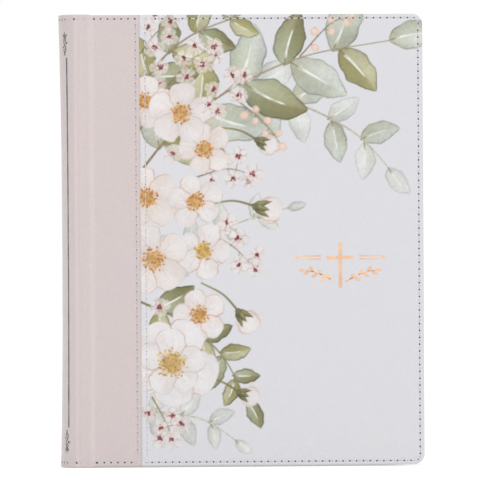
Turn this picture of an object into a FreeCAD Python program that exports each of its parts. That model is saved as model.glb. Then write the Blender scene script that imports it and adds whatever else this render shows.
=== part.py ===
import FreeCAD, Part
import math
import os

# A hardback gift bible, standing upright on its tail edge.
# Frame: +Z up (head of the book), +X from the spine to the fore-edge, front cover facing -Y.
# The origin is on the standing plane, in the middle of the width and of the thickness.
# Inside this file, u is the distance from the outermost line of the rounded spine, and X = u + U0.

V = FreeCAD.Vector

# ---- driving dimensions (mm) ----
height = 216.0            # head to tail
width = 173.3             # spine to fore-edge
leather_face = 18.8       # half thickness, to the face of the covering
stitch_rise = 0.2         # thread standing proud of the covering
spine_bulge = 6.2         # how far the rounded spine stands out past the shoulders
shoulder_u = 7.0          # end of the spine leather, start of the joint
board_u = 15.5            # spine edge of the boards
seam_u = 37.8             # quarter leather meets the printed panel
corner_r = 5.0            # rounded fore-edge corners of the covers
skin = 0.6                # covering leather on the boards
board_t = 2.0             # greyboard
turnin_t = 0.4            # turned-in leather on the inside, and the filler card between
turnin_w = 14.0
paste_t = 0.2             # pastedown endpaper
groove_depth = 1.2
spine_skin = 0.8
liner_t = 0.6
block_offset = 3.5        # spine face of the text block, measured in from the spine's outer face
block_half = 15.25        # half thickness of the pile of sections
centre_gap = 0.25
sections_per_half = 6
page_w = 162.2
square = 3.2              # cover overhang at head and tail
page_corner_r = 5.0
stitch_l, stitch_w = 2.2, 0.55
edge_inset = 2.2
edge_pitch = 3.25
seam_row_leather_u, seam_pitch_leather = 35.9, 3.95
seam_row_panel_u, seam_pitch_panel = 40.4, 3.6
foil_t = 0.05
hinge_clear = 0.25        # hinge lines lie this far outside the leather

U0 = -(width + stitch_rise) / 2.0 + stitch_rise
R = (leather_face ** 2 + spine_bulge ** 2) / (2 * spine_bulge)   # radius of the rounded spine
theta_s = math.asin(leather_face / R)

os.makedirs("parts", exist_ok=True)
out = {}


def save(name, shape):
    shape.exportStep("parts/%s.step" % name)
    out[name] = shape


def X(u):
    return u + U0


def sb(y):
    """How far the rounded back of the text block has fallen back at |y|."""
    rb = R - block_offset
    return rb - math.sqrt(rb * rb - y * y)


def poly(points, z0, z1):
    """Prism of a closed (u, y) outline, from z0 to z1."""
    w = Part.makePolygon([V(X(u), y, z0) for u, y in points] + [V(X(points[0][0]), points[0][1], z0)])
    return Part.Face(w).extrude(V(0, 0, z1 - z0))


def arc_point(d, a, z):
    """Point at angle a on the spine's arc, offset inwards by d (negative a is the front half)."""
    r = R - d
    return V(X(R - r * math.cos(a)), r * math.sin(a), z)


def sector(d0, d1, a0, a1, z0, z1):
    """Piece of curved sheet between offsets d0 and d1, angles a0 and a1, heights z0 and z1."""
    am = (a0 + a1) / 2.0
    e = [Part.Arc(arc_point(d0, a0, z0), arc_point(d0, am, z0), arc_point(d0, a1, z0)).toShape(),
         Part.makeLine(arc_point(d0, a1, z0), arc_point(d1, a1, z0)),
         Part.Arc(arc_point(d1, a1, z0), arc_point(d1, am, z0), arc_point(d1, a0, z0)).toShape(),
         Part.makeLine(arc_point(d1, a0, z0), arc_point(d0, a0, z0))]
    return Part.Face(Part.Wire(e)).extrude(V(0, 0, z1 - z0))


def angle_at(d, y):
    return math.asin(y / (R - d))


def plate_wire(u0, u1, z0, z1, y, r):
    """Outline in a plane of constant y, with the two fore-edge corners rounded."""
    if r <= 0:
        pts = [V(X(u0), y, z0), V(X(u1), y, z0), V(X(u1), y, z1), V(X(u0), y, z1), V(X(u0), y, z0)]
        return Part.makePolygon(pts)
    k = r * (1 - math.sqrt(0.5))
    e = [Part.makeLine(V(X(u0), y, z0), V(X(u1 - r), y, z0)),
         Part.Arc(V(X(u1 - r), y, z0), V(X(u1 - k), y, z0 + k), V(X(u1), y, z0 + r)).toShape(),
         Part.makeLine(V(X(u1), y, z0 + r), V(X(u1), y, z1 - r)),
         Part.Arc(V(X(u1), y, z1 - r), V(X(u1 - k), y, z1 - k), V(X(u1 - r), y, z1)).toShape(),
         Part.makeLine(V(X(u1 - r), y, z1), V(X(u0), y, z1)),
         Part.makeLine(V(X(u0), y, z1), V(X(u0), y, z0))]
    return Part.Wire(e)


def plate(u0, u1, z0, z1, ya, yb, r=0.0):
    return Part.Face(plate_wire(u0, u1, z0, z1, ya, r)).extrude(V(0, yb - ya, 0))


def half_space(u0, u1):
    return Part.makeBox(u1 - u0, 100, height + 20, V(X(u0), -50, -10))


def stitch_on_face(u, z, du, dz, sgn):
    """Thread bar lying on a cover's face, centred at (u, z), along (du, dz)."""
    b = Part.makeBox(stitch_l, stitch_rise, stitch_w, V(-stitch_l / 2, 0, -stitch_w / 2))
    b.rotate(V(0, 0, 0), V(0, 1, 0), -math.degrees(math.atan2(dz, du)))
    y = leather_face if sgn > 0 else -leather_face - stitch_rise
    b.translate(V(X(u), y, z))
    return b


def edge_path():
    """Points and directions of the perimeter stitch line: head, fore-edge and tail of a cover."""
    r = corner_r - edge_inset
    u0, u1 = board_u + 0.9, width - edge_inset
    z0, z1 = edge_inset, height - edge_inset
    run = u1 - r - u0
    quarter = r * math.pi / 2
    side = z1 - z0 - 2 * r
    total = 2 * run + 2 * quarter + side
    n = int(total / edge_pitch)
    pitch = total / n
    res = []
    for i in range(n):
        t = (i + 0.5) * pitch
        if t < run:
            res.append((u0 + t, z1, 1, 0))
            continue
        t -= run
        if t < quarter:
            a = t / r
            res.append((u1 - r + r * math.sin(a), z1 - r + r * math.cos(a), math.cos(a), -math.sin(a)))
            continue
        t -= quarter
        if t < side:
            res.append((u1, z1 - r - t, 0, -1))
            continue
        t -= side
        if t < quarter:
            a = t / r
            res.append((u1 - r + r * math.cos(a), z0 + r - r * math.sin(a), -math.sin(a), -math.cos(a)))
            continue
        t -= quarter
        res.append((u1 - r - t, z0, -1, 0))
    return res


def cover(side, sgn):
    """One cover: sgn is -1 for the front and +1 for the back."""
    f = leather_face * sgn
    y1 = f - sgn * skin                    # outer face of the board
    y2 = y1 - sgn * board_t                # inner face of the board
    y3 = y2 - sgn * turnin_t               # face of the turn-ins
    y4 = y3 - sgn * paste_t                # face of the pastedown
    w0, w1 = board_u, width
    board = plate(w0, w1 - skin, skin, height - skin, y1, y2, corner_r - skin)
    save(side + "_board", board)
    infill = plate(w0, w1 - turnin_w, turnin_w, height - turnin_w, y2, y3)
    save(side + "_board_infill", infill)
    covering = plate(w0, w1, 0, height, f, y3, corner_r)
    covering = covering.cut(plate(w0 - 1, w1 - skin, skin, height - skin, y1, y2, corner_r - skin))
    covering = covering.cut(plate(w0 - 1, w1 - turnin_w, turnin_w, height - turnin_w, y2 + 0.0, y3 - sgn * 0.5))
    save(side + "_quarter_leather", covering.common(half_space(w0 - 1, seam_u)).removeSplitter())
    save(side + ("_printed_panel" if sgn < 0 else "_panel"),
         covering.common(half_space(seam_u, w1 + 1)).removeSplitter())
    save(side + "_pastedown", plate(w0, w1 - 3.0, square, height - square, y3, y4, corner_r - 2.0))

    save(side + "_edge_stitching", Part.makeCompound(
        [stitch_on_face(u, z, du, dz, sgn) for u, z, du, dz in edge_path()]))
    for name, u, pitch in (("leather", seam_row_leather_u, seam_pitch_leather),
                           ("panel", seam_row_panel_u, seam_pitch_panel)):
        lo, hi = edge_inset + 2.6, height - edge_inset - 2.6
        n = int((hi - lo) / pitch)
        st = [stitch_on_face(u, lo + (i + 0.5) * (hi - lo) / n, 0, 1, sgn) for i in range(n)]
        save("%s_seam_stitches_%s_side" % (side, name), Part.makeCompound(st))

    # joint leather: a shallow french groove between the shoulder and the board, one flexible strip
    n = 12
    ua, ub = shoulder_u + 0.02, board_u - 0.05
    outer, inner = [], []
    for i in range(n + 1):
        u = ua + (ub - ua) * i / n
        d = groove_depth * math.sin(math.pi * (u - ua) / (ub - ua)) ** 2
        outer.append((u, sgn * (leather_face - d)))
        inner.append((u, sgn * (leather_face - d - spine_skin)))
    save(side + "_joint_leather", poly(outer + inner[::-1], 0, height))


def half_block(side, sgn, first):
    """One half of the text block with its half of the spine: sgn is -1 for the front and +1 for the rear."""
    tiny = 0.02
    # sections, each a sheared pile of folded leaves that follows the rounded back
    t = (block_half - centre_gap) / sections_per_half
    for k in range(sections_per_half):
        # k = 0 is the outermost section of the front half, counting on from front to rear
        a = block_half - k * t if sgn < 0 else centre_gap + k * t
        b = a - t if sgn < 0 else a + t
        ya, yb = sgn * a, sgn * b
        ua, ub = block_offset + sb(a), block_offset + sb(b)
        w = plate_wire(ua, ua + page_w, square, height - square, ya, page_corner_r)
        body = Part.Face(w).extrude(V(ub - ua, yb - ya, 0))
        if (sgn < 0 and k == 0) or (sgn > 0 and k == sections_per_half - 1):
            # backing shoulder: the outermost section is bent over to fill the joint
            ue = block_offset + sb(block_half)
            ridge = poly([(ue, sgn * block_half), (8.6, sgn * 17.1), (9.6, sgn * 16.85), (11.5, sgn * block_half),
                          (11.5, sgn * (block_half - 0.5)), (ue, sgn * (block_half - 0.5))],
                         square, height - square)
            body = body.fuse(ridge).removeSplitter()
        save("section_%02d" % (first + k), body)

    yo = block_half + 0.04
    save(("front" if sgn < 0 else "back") + "_flyleaf",
         plate(11.7, block_offset + sb(block_half) + page_w, square, height - square,
               sgn * yo, sgn * (yo + 0.2), page_corner_r))

    def sec(d0, d1, y_out, z0, z1):
        a0, a1 = angle_at((d0 + d1) / 2, tiny), angle_at((d0 + d1) / 2, y_out)
        return sector(d0, d1, sgn * a0, sgn * a1, z0, z1)

    yi = block_half - 0.1
    save(side + "_sewing_tapes", Part.makeCompound(
        [sec(3.05, 3.45, yi, z - 5, z + 5) for z in (46, 88, 128, 170)]))
    save(side + "_kettle_threads", Part.makeCompound(
        [sec(3.1, 3.45, yi, z - 0.4, z + 0.4) for z in (16.5, 199.5)]))
    save(side + "_mull", sec(2.7, 3.0, yi, 22, 194))
    save(side + "_spine_liner", sec(spine_skin, spine_skin + liner_t, 15.6, 12.2, height - 12.2))

    zt = height - square
    for nm, z_bead, z_flange in (("headband", (zt + 0.02, zt + 1.7), (zt - 11, zt + 0.02)),
                                 ("tailband", (square - 1.7, square - 0.02), (square - 0.02, square + 11))):
        bead = sec(3.05, 4.7, yi, z_bead[0], z_bead[1])
        flange = sec(3.05, 3.42, yi, z_flange[0], z_flange[1])
        save("%s_%s" % (side, nm), bead.fuse(flange).removeSplitter())

    # spine leather: curved skin out to the shoulder, with its turn-ins at head and tail
    a0 = sgn * math.asin(tiny / R)
    ao = sgn * theta_s
    y_in = leather_face - 0.02 - spine_skin
    pts_o = (arc_point(0, a0, 0), arc_point(0, (a0 + ao) / 2, 0), arc_point(0, ao, 0))
    ai0 = sgn * math.asin(tiny / (R - spine_skin))
    pts_i = (arc_point(spine_skin, ao, 0), arc_point(spine_skin, (ai0 + ao) / 2, 0), arc_point(spine_skin, ai0, 0))
    e = [Part.Arc(*pts_o).toShape(),
         Part.makeLine(pts_o[2], V(X(shoulder_u), sgn * (leather_face - 0.02), 0)),
         Part.makeLine(V(X(shoulder_u), sgn * (leather_face - 0.02), 0), V(X(shoulder_u), sgn * y_in, 0)),
         Part.makeLine(V(X(shoulder_u), sgn * y_in, 0), pts_i[0]),
         Part.Arc(*pts_i).toShape(),
         Part.makeLine(pts_i[2], pts_o[0])]
    skin_shape = Part.Face(Part.Wire(e)).extrude(V(0, 0, height))
    for z0, z1 in ((0, 12.0), (height - 12.0, height)):
        skin_shape = skin_shape.fuse(sec(spine_skin - 0.05, spine_skin + liner_t, 15.6, z0, z1))
    save(side + "_spine_leather", skin_shape.removeSplitter())

    # foil on the spine: a long rule near the shoulder, with a small three-part device at each end
    af = theta_s - 5.5 / R
    tiles = []
    for z0, z1, w in ((20.5, 193.5, 0.9), (195.5, 197.0, 1.4), (198.2, 202.2, 3.0), (203.4, 204.9, 1.4),
                      (17.0, 18.5, 1.4), (11.8, 15.8, 3.0), (9.1, 10.6, 1.4)):
        h = w / 2 / R
        tiles.append(sector(-foil_t, 0, sgn * (af - h), sgn * (af + h), z0, z1))
    save(side + "_spine_foil", Part.makeCompound(tiles))

    # stitches across the two ends of the spine
    st = []
    n = 5
    for z in (edge_inset, height - edge_inset):
        for i in range(n):
            a = theta_s * (0.10 + 0.80 * i / (n - 1))
            h = stitch_l / 2 / R
            st.append(sector(-stitch_rise, 0, sgn * (a - h), sgn * (a + h), z - stitch_w / 2, z + stitch_w / 2))
    save(side + "_spine_end_stitching", Part.makeCompound(st))


cover("front", -1)
cover("back", 1)
half_block("front", -1, 1)
half_block("rear", 1, 1 + sections_per_half)

# foil mark on the front panel: a plain latin cross between two pairs of short rules
mark_u, mark_z = 133.3, 95.7
y0, y1 = -leather_face, -leather_face - foil_t
upright = plate(mark_u - 0.8, mark_u + 0.8, mark_z - 10.7, mark_z + 10.7, y0, y1)
bar = plate(mark_u - 6.4, mark_u + 6.4, mark_z + 2.9, mark_z + 4.5, y0, y1)
pieces = [upright.fuse(bar).removeSplitter()]
for sx in (-1, 1):
    for dz, l in ((1.4, 9.0), (-1.4, 9.0)):
        a, b = sorted((mark_u + sx * 10.8, mark_u + sx * (10.8 + l)))
        pieces.append(plate(a, b, mark_z + dz - 0.3, mark_z + dz + 0.3, y0, y1))
save("front_foil_mark", Part.makeCompound(pieces))

# two free leaves at the middle of the book, between the halves of the text block
for name, y0, y1 in (("centre_leaf_front", -0.20, -0.05), ("centre_leaf_rear", 0.05, 0.20)):
    save(name, plate(block_offset + 0.3, block_offset + page_w, square, height - square, y0, y1, page_corner_r))

for n in sorted(out):
    sh = out[n]
    b = sh.BoundBox
    print("%-34s solids %3d valid %s vol %10.3f  x %.2f %.2f  y %.2f %.2f  z %.2f %.2f" % (
        n, len(sh.Solids), sh.isValid(), sh.Volume, b.XMin, b.XMax, b.YMin, b.YMax, b.ZMin, b.ZMax))
print(len(out), "nodes")
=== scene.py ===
import bpy
import bmesh
import math
import numpy as np
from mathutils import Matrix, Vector


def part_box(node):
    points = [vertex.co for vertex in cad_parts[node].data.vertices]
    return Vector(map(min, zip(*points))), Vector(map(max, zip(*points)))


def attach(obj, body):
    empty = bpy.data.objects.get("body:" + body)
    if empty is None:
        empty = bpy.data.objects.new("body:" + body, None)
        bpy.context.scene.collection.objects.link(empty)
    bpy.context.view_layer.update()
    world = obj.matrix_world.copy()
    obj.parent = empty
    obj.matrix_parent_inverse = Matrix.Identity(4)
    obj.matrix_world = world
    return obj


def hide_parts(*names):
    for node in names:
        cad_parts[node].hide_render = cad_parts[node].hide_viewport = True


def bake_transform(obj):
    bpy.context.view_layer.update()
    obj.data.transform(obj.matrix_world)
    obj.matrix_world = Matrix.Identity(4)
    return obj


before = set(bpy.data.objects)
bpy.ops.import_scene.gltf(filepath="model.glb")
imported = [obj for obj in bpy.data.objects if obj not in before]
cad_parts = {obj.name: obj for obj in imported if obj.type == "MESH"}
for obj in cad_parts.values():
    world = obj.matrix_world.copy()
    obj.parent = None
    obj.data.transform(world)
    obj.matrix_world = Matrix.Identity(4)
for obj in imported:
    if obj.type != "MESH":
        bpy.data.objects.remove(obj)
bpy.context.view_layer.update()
scene = bpy.context.scene

# ---------------------------------------------------------------- sizes, in millimetres, read from the frame
_a, _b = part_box("front_spine_leather")
U0 = _a[0] * 1000.0                      # x of the outermost line of the spine, where u is 0
FACE = -_a[1] * 1000.0                   # half thickness to the face of the leather
H = _b[2] * 1000.0
_c, _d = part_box("front_printed_panel")
SEAM = _c[0] * 1000.0 - U0               # u of the seam
WID = _d[0] * 1000.0 - U0                # u of the fore-edge
_e, _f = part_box("front_board")
BOARD_U = _e[0] * 1000.0 - U0
BULGE = 6.2
R = (FACE ** 2 + BULGE ** 2) / (2 * BULGE)
TH_S = math.asin(FACE / R)
COVER_T = 3.0                            # leather and board, without the pastedown
_g, _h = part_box("section_01")
PAGE_LO, PAGE_HI = _g[2] * 1000.0, _h[2] * 1000.0
Z_BOARD = 0.35                           # boards stop this much short of the leather at the joint
ZB0, ZB1 = Z_BOARD, H - Z_BOARD


def mm(u, y, z):
    return ((U0 + u) / 1000.0, y / 1000.0, z / 1000.0)


def smooth01(a, b, x):
    t = np.clip((np.asarray(x, float) - a) / (b - a), 0, 1)
    return t * t * (3 - 2 * t)


def make_mesh(name, verts, faces, mats, smooth=True, face_mat=None, attrs=None):
    """verts in metres. attrs: name -> (type, array) on the points."""
    me = bpy.data.meshes.new(name)
    me.from_pydata([tuple(map(float, v)) for v in verts], [], faces)
    for m in mats:
        me.materials.append(m)
    if face_mat is not None:
        me.polygons.foreach_set("material_index", np.array(face_mat, np.int32))
    if smooth:
        me.polygons.foreach_set("use_smooth", np.ones(len(me.polygons), bool))
    at = me.attributes.new("rco", "FLOAT_VECTOR", "POINT")
    at.data.foreach_set("vector", np.array(verts, np.float32).ravel())
    for k, (ty, arr) in (attrs or {}).items():
        at = me.attributes.new(k, ty, "POINT")
        key = {"FLOAT": "value", "FLOAT_COLOR": "color", "FLOAT_VECTOR": "vector"}[ty]
        at.data.foreach_set(key, np.asarray(arr, np.float32).ravel())
    me.validate()
    ob = bpy.data.objects.new(name, me)
    scene.collection.objects.link(ob)
    return ob


def bspline(pts, n):
    """Smooth line that rounds off the corners of pts: a uniform cubic B-spline that starts and ends on the end points."""
    p = np.array([pts[0], pts[0]] + list(pts) + [pts[-1], pts[-1]], float)
    segs = len(p) - 3
    res = []
    for t in np.linspace(0, segs, n):
        i = min(int(t), segs - 1)
        f = t - i
        w = ((1 - f) ** 3 / 6, (3 * f ** 3 - 6 * f ** 2 + 4) / 6, (-3 * f ** 3 + 3 * f ** 2 + 3 * f + 1) / 6, f ** 3 / 6)
        res.append(sum(w[k] * p[i + k] for k in range(4)))
    return np.array(res)


def srgb(*c):
    c = np.array(c, float) / 255.0
    return np.where(c <= 0.04045, c / 12.92, ((c + 0.055) / 1.055) ** 2.4)


def lin4(*c):
    v = srgb(*c)
    return (float(v[0]), float(v[1]), float(v[2]), 1.0)


# ---------------------------------------------------------------- where the stitches run
EDGE_IN = 2.2
STITCH_PITCH = 3.25
ROW_LEATHER, PITCH_LEATHER = 35.9, 3.95
ROW_PANEL, PITCH_PANEL = 40.4, 3.6


def edge_line():
    """(u, z, du, dz) of each perimeter stitch on a cover, from the head by the joint round to the tail."""
    r = 5.0 - EDGE_IN
    u0, u1 = BOARD_U + 0.9, WID - EDGE_IN
    z0, z1 = EDGE_IN, H - EDGE_IN
    run, quarter = u1 - r - u0, r * math.pi / 2
    side = z1 - z0 - 2 * r
    total = 2 * run + 2 * quarter + side
    n = int(total / STITCH_PITCH)
    res = []
    for i in range(n):
        t = (i + 0.5) * total / n
        if t < run:
            res.append((u0 + t, z1, 1, 0))
            continue
        t -= run
        if t < quarter:
            a = t / r
            res.append((u1 - r + r * math.sin(a), z1 - r + r * math.cos(a), math.cos(a), -math.sin(a)))
            continue
        t -= quarter
        if t < side:
            res.append((u1, z1 - r - t, 0, -1))
            continue
        t -= side
        if t < quarter:
            a = t / r
            res.append((u1 - r + r * math.cos(a), z0 + r - r * math.sin(a), -math.sin(a), -math.cos(a)))
            continue
        t -= quarter
        res.append((u1 - r - t, z0, -1, 0))
    return res


def row_line(u, pitch):
    a, b = EDGE_IN + 2.6, H - EDGE_IN - 2.6
    n = int((b - a) / pitch)
    return [(u, a + (i + 0.5) * (b - a) / n, 0, 1) for i in range(n)]


def edge_distance(u, z):
    """Distance from the perimeter stitch line, in millimetres."""
    u, z = np.asarray(u, float), np.asarray(z, float)
    r = 5.0 - EDGE_IN
    cx, cz = WID - 5.0, np.clip(z, 5.0, H - 5.0)
    in_corner = (u > cx) & ((z < 5.0) | (z > H - 5.0))
    dc = np.abs(np.hypot(u - cx, z - cz) - r)
    dz = np.minimum(np.abs(z - EDGE_IN), np.abs(z - (H - EDGE_IN)))
    du = np.abs(u - (WID - EDGE_IN))
    return np.where(in_corner, dc, np.minimum(dz, np.where((z > EDGE_IN) & (z < H - EDGE_IN), du, 99)))


def sink(u, z):
    """How far the leather of a cover lies below its flat face: it falls to the seam and is drawn down along the stitches."""
    u, z = np.asarray(u, float), np.asarray(z, float)
    seam = np.where(u < SEAM, 0.42 * (1 - smooth01(0.0, 1.0, SEAM - u)), 0.30 * (1 - smooth01(0.0, 0.9, u - SEAM)))
    e = 0.14 * np.exp(-(edge_distance(u, z) / 0.75) ** 2)
    s1 = 0.13 * np.exp(-((u - ROW_LEATHER) / 0.7) ** 2) + 0.12 * np.exp(-((u - ROW_PANEL) / 0.7) ** 2)
    pad = 0.05 * np.sin(u * 0.047 + 1.0) * np.sin(z * 0.031 + 0.6)
    return seam + e + s1 + 0.06 + pad
# ---------------------------------------------------------------- the printed design, worked out as colours over the panel
# Design units: 2.095 to the millimetre, x to the right from the left of the book, y down from its top.
DU = 2.095


def d_u(x):
    return (x - 60.0) / DU


def d_z(y):
    return (465.5 - y) / DU


AX0, AY0, AQ, ANX, ANY = 134.0, 6.0, 0.42, 705, 1110
PAPER = np.array([221, 221, 225]) / 255.0


def value_noise(scale, seed, stretch=1.0):
    """Smooth noise over the design, about 0 to 1, with features of that many units."""
    r = np.random.RandomState(seed)
    gx, gy = int(ANX * AQ / scale) + 3, int(ANY * AQ / (scale * stretch)) + 3
    g = r.rand(gy, gx)
    xs, ys = np.arange(ANX) * AQ / scale, np.arange(ANY) * AQ / (scale * stretch)
    ix, iy = xs.astype(int), ys.astype(int)
    fx, fy = xs - ix, ys - iy
    fx, fy = fx * fx * (3 - 2 * fx), (fy * fy * (3 - 2 * fy))[:, None]
    a, b = g[iy][:, ix], g[iy][:, ix + 1]
    c, d = g[iy + 1][:, ix], g[iy + 1][:, ix + 1]
    return (a * (1 - fx) + b * fx) * (1 - fy) + (c * (1 - fx) + d * fx) * fy


def ss(a, b, x):
    t = np.clip((x - a) / (b - a), 0, 1)
    return t * t * (3 - 2 * t)


class Art:
    def __init__(self):
        self.c = np.ones((ANY, ANX, 3)) * PAPER
        self.ink = np.zeros((ANY, ANX))
        self.x = AX0 + np.arange(ANX) * AQ
        self.y = AY0 + np.arange(ANY) * AQ
        self.n1 = value_noise(2.2, 5)
        self.n2 = value_noise(7.0, 6)
        self.n3 = value_noise(16.0, 7)
        self.n0 = value_noise(0.85, 8)

    def patch(self, x0, y0, x1, y1):
        i0, i1 = max(0, int((x0 - AX0) / AQ)), min(ANX, int((x1 - AX0) / AQ) + 2)
        j0, j1 = max(0, int((y0 - AY0) / AQ)), min(ANY, int((y1 - AY0) / AQ) + 2)
        if i0 >= i1 or j0 >= j1:
            return None
        X, Y = np.meshgrid(self.x[i0:i1], self.y[j0:j1])
        return (slice(j0, j1), slice(i0, i1)), X, Y

    def put(self, s, alpha, col):
        a = alpha[..., None]
        self.c[s] = self.c[s] * (1 - a) + col * a
        self.ink[s] = np.maximum(self.ink[s] * (1 - alpha), alpha)

    def axis(self, p0, p1, p2, X, Y, n=48):
        t = np.linspace(0, 1, n)
        p0, p1, p2 = np.array(p0, float), np.array(p1, float), np.array(p2, float)
        B = ((1 - t) ** 2)[:, None] * p0 + (2 * t * (1 - t))[:, None] * p1 + (t ** 2)[:, None] * p2
        T = (2 * (1 - t))[:, None] * (p1 - p0) + (2 * t)[:, None] * (p2 - p1)
        L = np.linalg.norm(T, axis=1)
        best = np.full(X.shape, 1e18)
        k = np.zeros(X.shape, int)
        for i in range(n):
            q = (X - B[i, 0]) ** 2 + (Y - B[i, 1]) ** 2
            m = q < best
            best[m] = q[m]
            k[m] = i
        ex, ey = X - B[k, 0], Y - B[k, 1]
        tx, ty = T[k, 0] / L[k], T[k, 1] / L[k]
        along = ex * tx + ey * ty
        side = tx * ey - ty * ex
        tt = t[k] + along / np.maximum(L[k], 1e-6)
        over = np.where((tt < 0) | (tt > 1), np.abs(along), 0)
        return np.clip(tt, 0, 1), side, np.hypot(side, over)

    def blade(self, p0, p1, p2, w, ab=(0.62, 0.8), left=(180, 180, 160), right=(170, 170, 140), base=None, tip=None,
              kb=0.8, kt=0.6, rib=None, rib_t=(0.05, 0.8), rib_w=0.8, veins=0.0, nv=9, edge=0.16, alpha=1.0, wob=0.05,
              streak=0.0, rim=None, rim_a=0.5, grain=0.05, bloom=0.08, seed=0, soft=0.8, skew=0.0, wash=0.0):
        xs, ys = [p0[0], p1[0], p2[0]], [p0[1], p1[1], p2[1]]
        got = self.patch(min(xs) - w - 3, min(ys) - w - 3, max(xs) + w + 3, max(ys) + w + 3)
        if got is None:
            return
        s, X, Y = got
        t, side, dist = self.axis(p0, p1, p2, X, Y)
        a, b = ab
        norm = (a / (a + b)) ** a * (b / (a + b)) ** b
        f = np.power(np.clip(t, 1e-6, 1), a) * np.power(np.clip(1 - t, 1e-6, 1), b) / norm
        sgn = np.where(side > 0, 1.0, -1.0)
        wave = 1 + wob * np.sin(t * (9 + seed % 5) + seed * 1.7 + sgn * 1.3) + wob * 0.8 * np.sin(t * 21 + seed * 2.9 + sgn * 2)
        wave = wave * (1 + skew * sgn)
        hw = w * f * wave + (self.n1[s] - 0.5) * 0.7
        m = np.clip((hw - dist) / soft + 0.5, 0, 1) * alpha
        v = np.clip(dist / np.maximum(hw, 0.3), 0, 1.2)
        sm = (0.5 + 0.5 * np.tanh(side / (0.07 * w + 0.4)))[..., None]
        col = (np.array(left) * (1 - sm) + np.array(right) * sm) / 255.0
        if base is not None:
            k = (np.power(1 - t, 2.2) * kb)[..., None]
            col = col * (1 - k) + np.array(base) / 255.0 * k
        if tip is not None:
            k = (np.power(t, 2.0) * kt)[..., None]
            col = col * (1 - k) + np.array(tip) / 255.0 * k
        lightness = 1 + grain * (self.n1[s] - 0.5) * 1.2 + grain * (self.n0[s] - 0.5) * 1.3 + bloom * (self.n3[s] - 0.5) * 1.6
        if veins:
            ph = t * nv - v * 1.25
            line = np.exp(-(((ph - np.floor(ph)) - 0.5) / 0.10) ** 2)
            lightness = lightness + veins * line * (1 - ss(0.75, 1.0, v)) * ss(0.04, 0.2, v)
        if streak:
            q = side / np.maximum(hw, 1.0)
            lightness = lightness + streak * (np.sin(q * 11 + seed) * 0.5 + np.sin(q * 23 + seed * 2 + self.n2[s] * 4) * 0.5) * ss(0.0, 0.35, t)
        e = ss(1.0 - 2.2 / np.maximum(hw, 2.6), 1.0, v) * edge * (0.55 + 0.9 * self.n2[s]) + ss(0.35, 1.0, v) * edge * 0.22
        lightness = lightness - e
        col = col * lightness[..., None]
        if rim is not None:
            k = (ss(1.0 - 1.5 / np.maximum(hw, 2.0), 1.0 - 0.3 / np.maximum(hw, 2.0), v) * rim_a * (0.05 + 1.5 * self.n3[s] * self.n2[s] + 0.35 * self.n3[s]))[..., None]
            k = np.clip(k, 0, 1)
            col = col * (1 - k) + np.array(rim) / 255.0 * k
        if rib is not None:
            k = np.clip((rib_w * (1.1 - t) - np.abs(side)) / 0.55 + 0.5, 0, 1) * ss(rib_t[0], rib_t[0] + 0.06, t) * (1 - ss(rib_t[1] - 0.1, rib_t[1], t))
            k = (k * (0.45 + 0.8 * self.n2[s])).clip(0, 1)[..., None]
            col = col * (1 - k) + np.array(rib) / 255.0 * k
        if wash:
            m = m * (1 - wash * (1 - ss(0.15, 0.95, v)) * ss(0.15, 0.6, t) * (0.4 + 0.8 * self.n3[s]))
        self.put(s, m, np.clip(col, 0, 1))

    def dot(self, x, y, r, col, alpha=1.0, soft=0.7, edge=0.0, ratio=1.0, ang=0.0):
        got = self.patch(x - r - 2, y - r - 2, x + r + 2, y + r + 2)
        if got is None:
            return
        s, X, Y = got
        ca, sa = math.cos(ang), math.sin(ang)
        ex, ey = (X - x) * ca + (Y - y) * sa, (-(X - x) * sa + (Y - y) * ca) / ratio
        d = np.hypot(ex, ey) + (self.n1[s] - 0.5) * r * 0.35
        m = np.clip((r - d) / soft + 0.5, 0, 1) * alpha
        c = np.ones(X.shape + (3,)) * np.array(col) / 255.0
        c = c * (1 - edge * ss(0.6, 1.0, d / r))[..., None] * (1 + 0.08 * (self.n1[s] - 0.5))[..., None]
        self.put(s, m, c)

    def stroke(self, pts, w0, w1, col, alpha=1.0, col2=None):
        pts = np.array(pts, float)
        # a smooth line through the points, by Catmull-Rom
        q = np.vstack([2 * pts[0] - pts[1], pts, 2 * pts[-1] - pts[-2]])
        out_ = []
        for i in range(1, len(q) - 2):
            for t in np.linspace(0, 1, 9)[:-1]:
                out_.append(0.5 * (2 * q[i] + (q[i + 1] - q[i - 1]) * t + (2 * q[i - 1] - 5 * q[i] + 4 * q[i + 1] - q[i + 2]) * t * t
                                   + (3 * q[i] - q[i - 1] - 3 * q[i + 1] + q[i + 2]) * t ** 3))
        out_.append(pts[-1])
        P = np.array(out_)
        w = max(w0, w1)
        got = self.patch(P[:, 0].min() - w - 2, P[:, 1].min() - w - 2, P[:, 0].max() + w + 2, P[:, 1].max() + w + 2)
        if got is None:
            return
        s, X, Y = got
        best = np.full(X.shape, 1e9)
        tt = np.zeros(X.shape)
        for i in range(len(P) - 1):
            a, b = P[i], P[i + 1]
            d = b - a
            L = max(d @ d, 1e-9)
            u = np.clip(((X - a[0]) * d[0] + (Y - a[1]) * d[1]) / L, 0, 1)
            q2 = np.hypot(X - a[0] - u * d[0], Y - a[1] - u * d[1])
            m = q2 < best
            best[m] = q2[m]
            tt[m] = ((i + u) / (len(P) - 1))[m]
        hw = (w0 + (w1 - w0) * tt) * (1 + 0.35 * (self.n1[s] - 0.5))
        m = np.clip((hw - best) / 0.7 + 0.5, 0, 1) * alpha
        c = np.ones(X.shape + (3,)) * np.array(col) / 255.0
        if col2 is not None:
            c = c * (1 - tt[..., None]) + np.array(col2) / 255.0 * tt[..., None]
        c = c * (1 + 0.25 * (self.n1[s] - 0.5))[..., None]
        self.put(s, m, np.clip(c, 0, 1))

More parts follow.
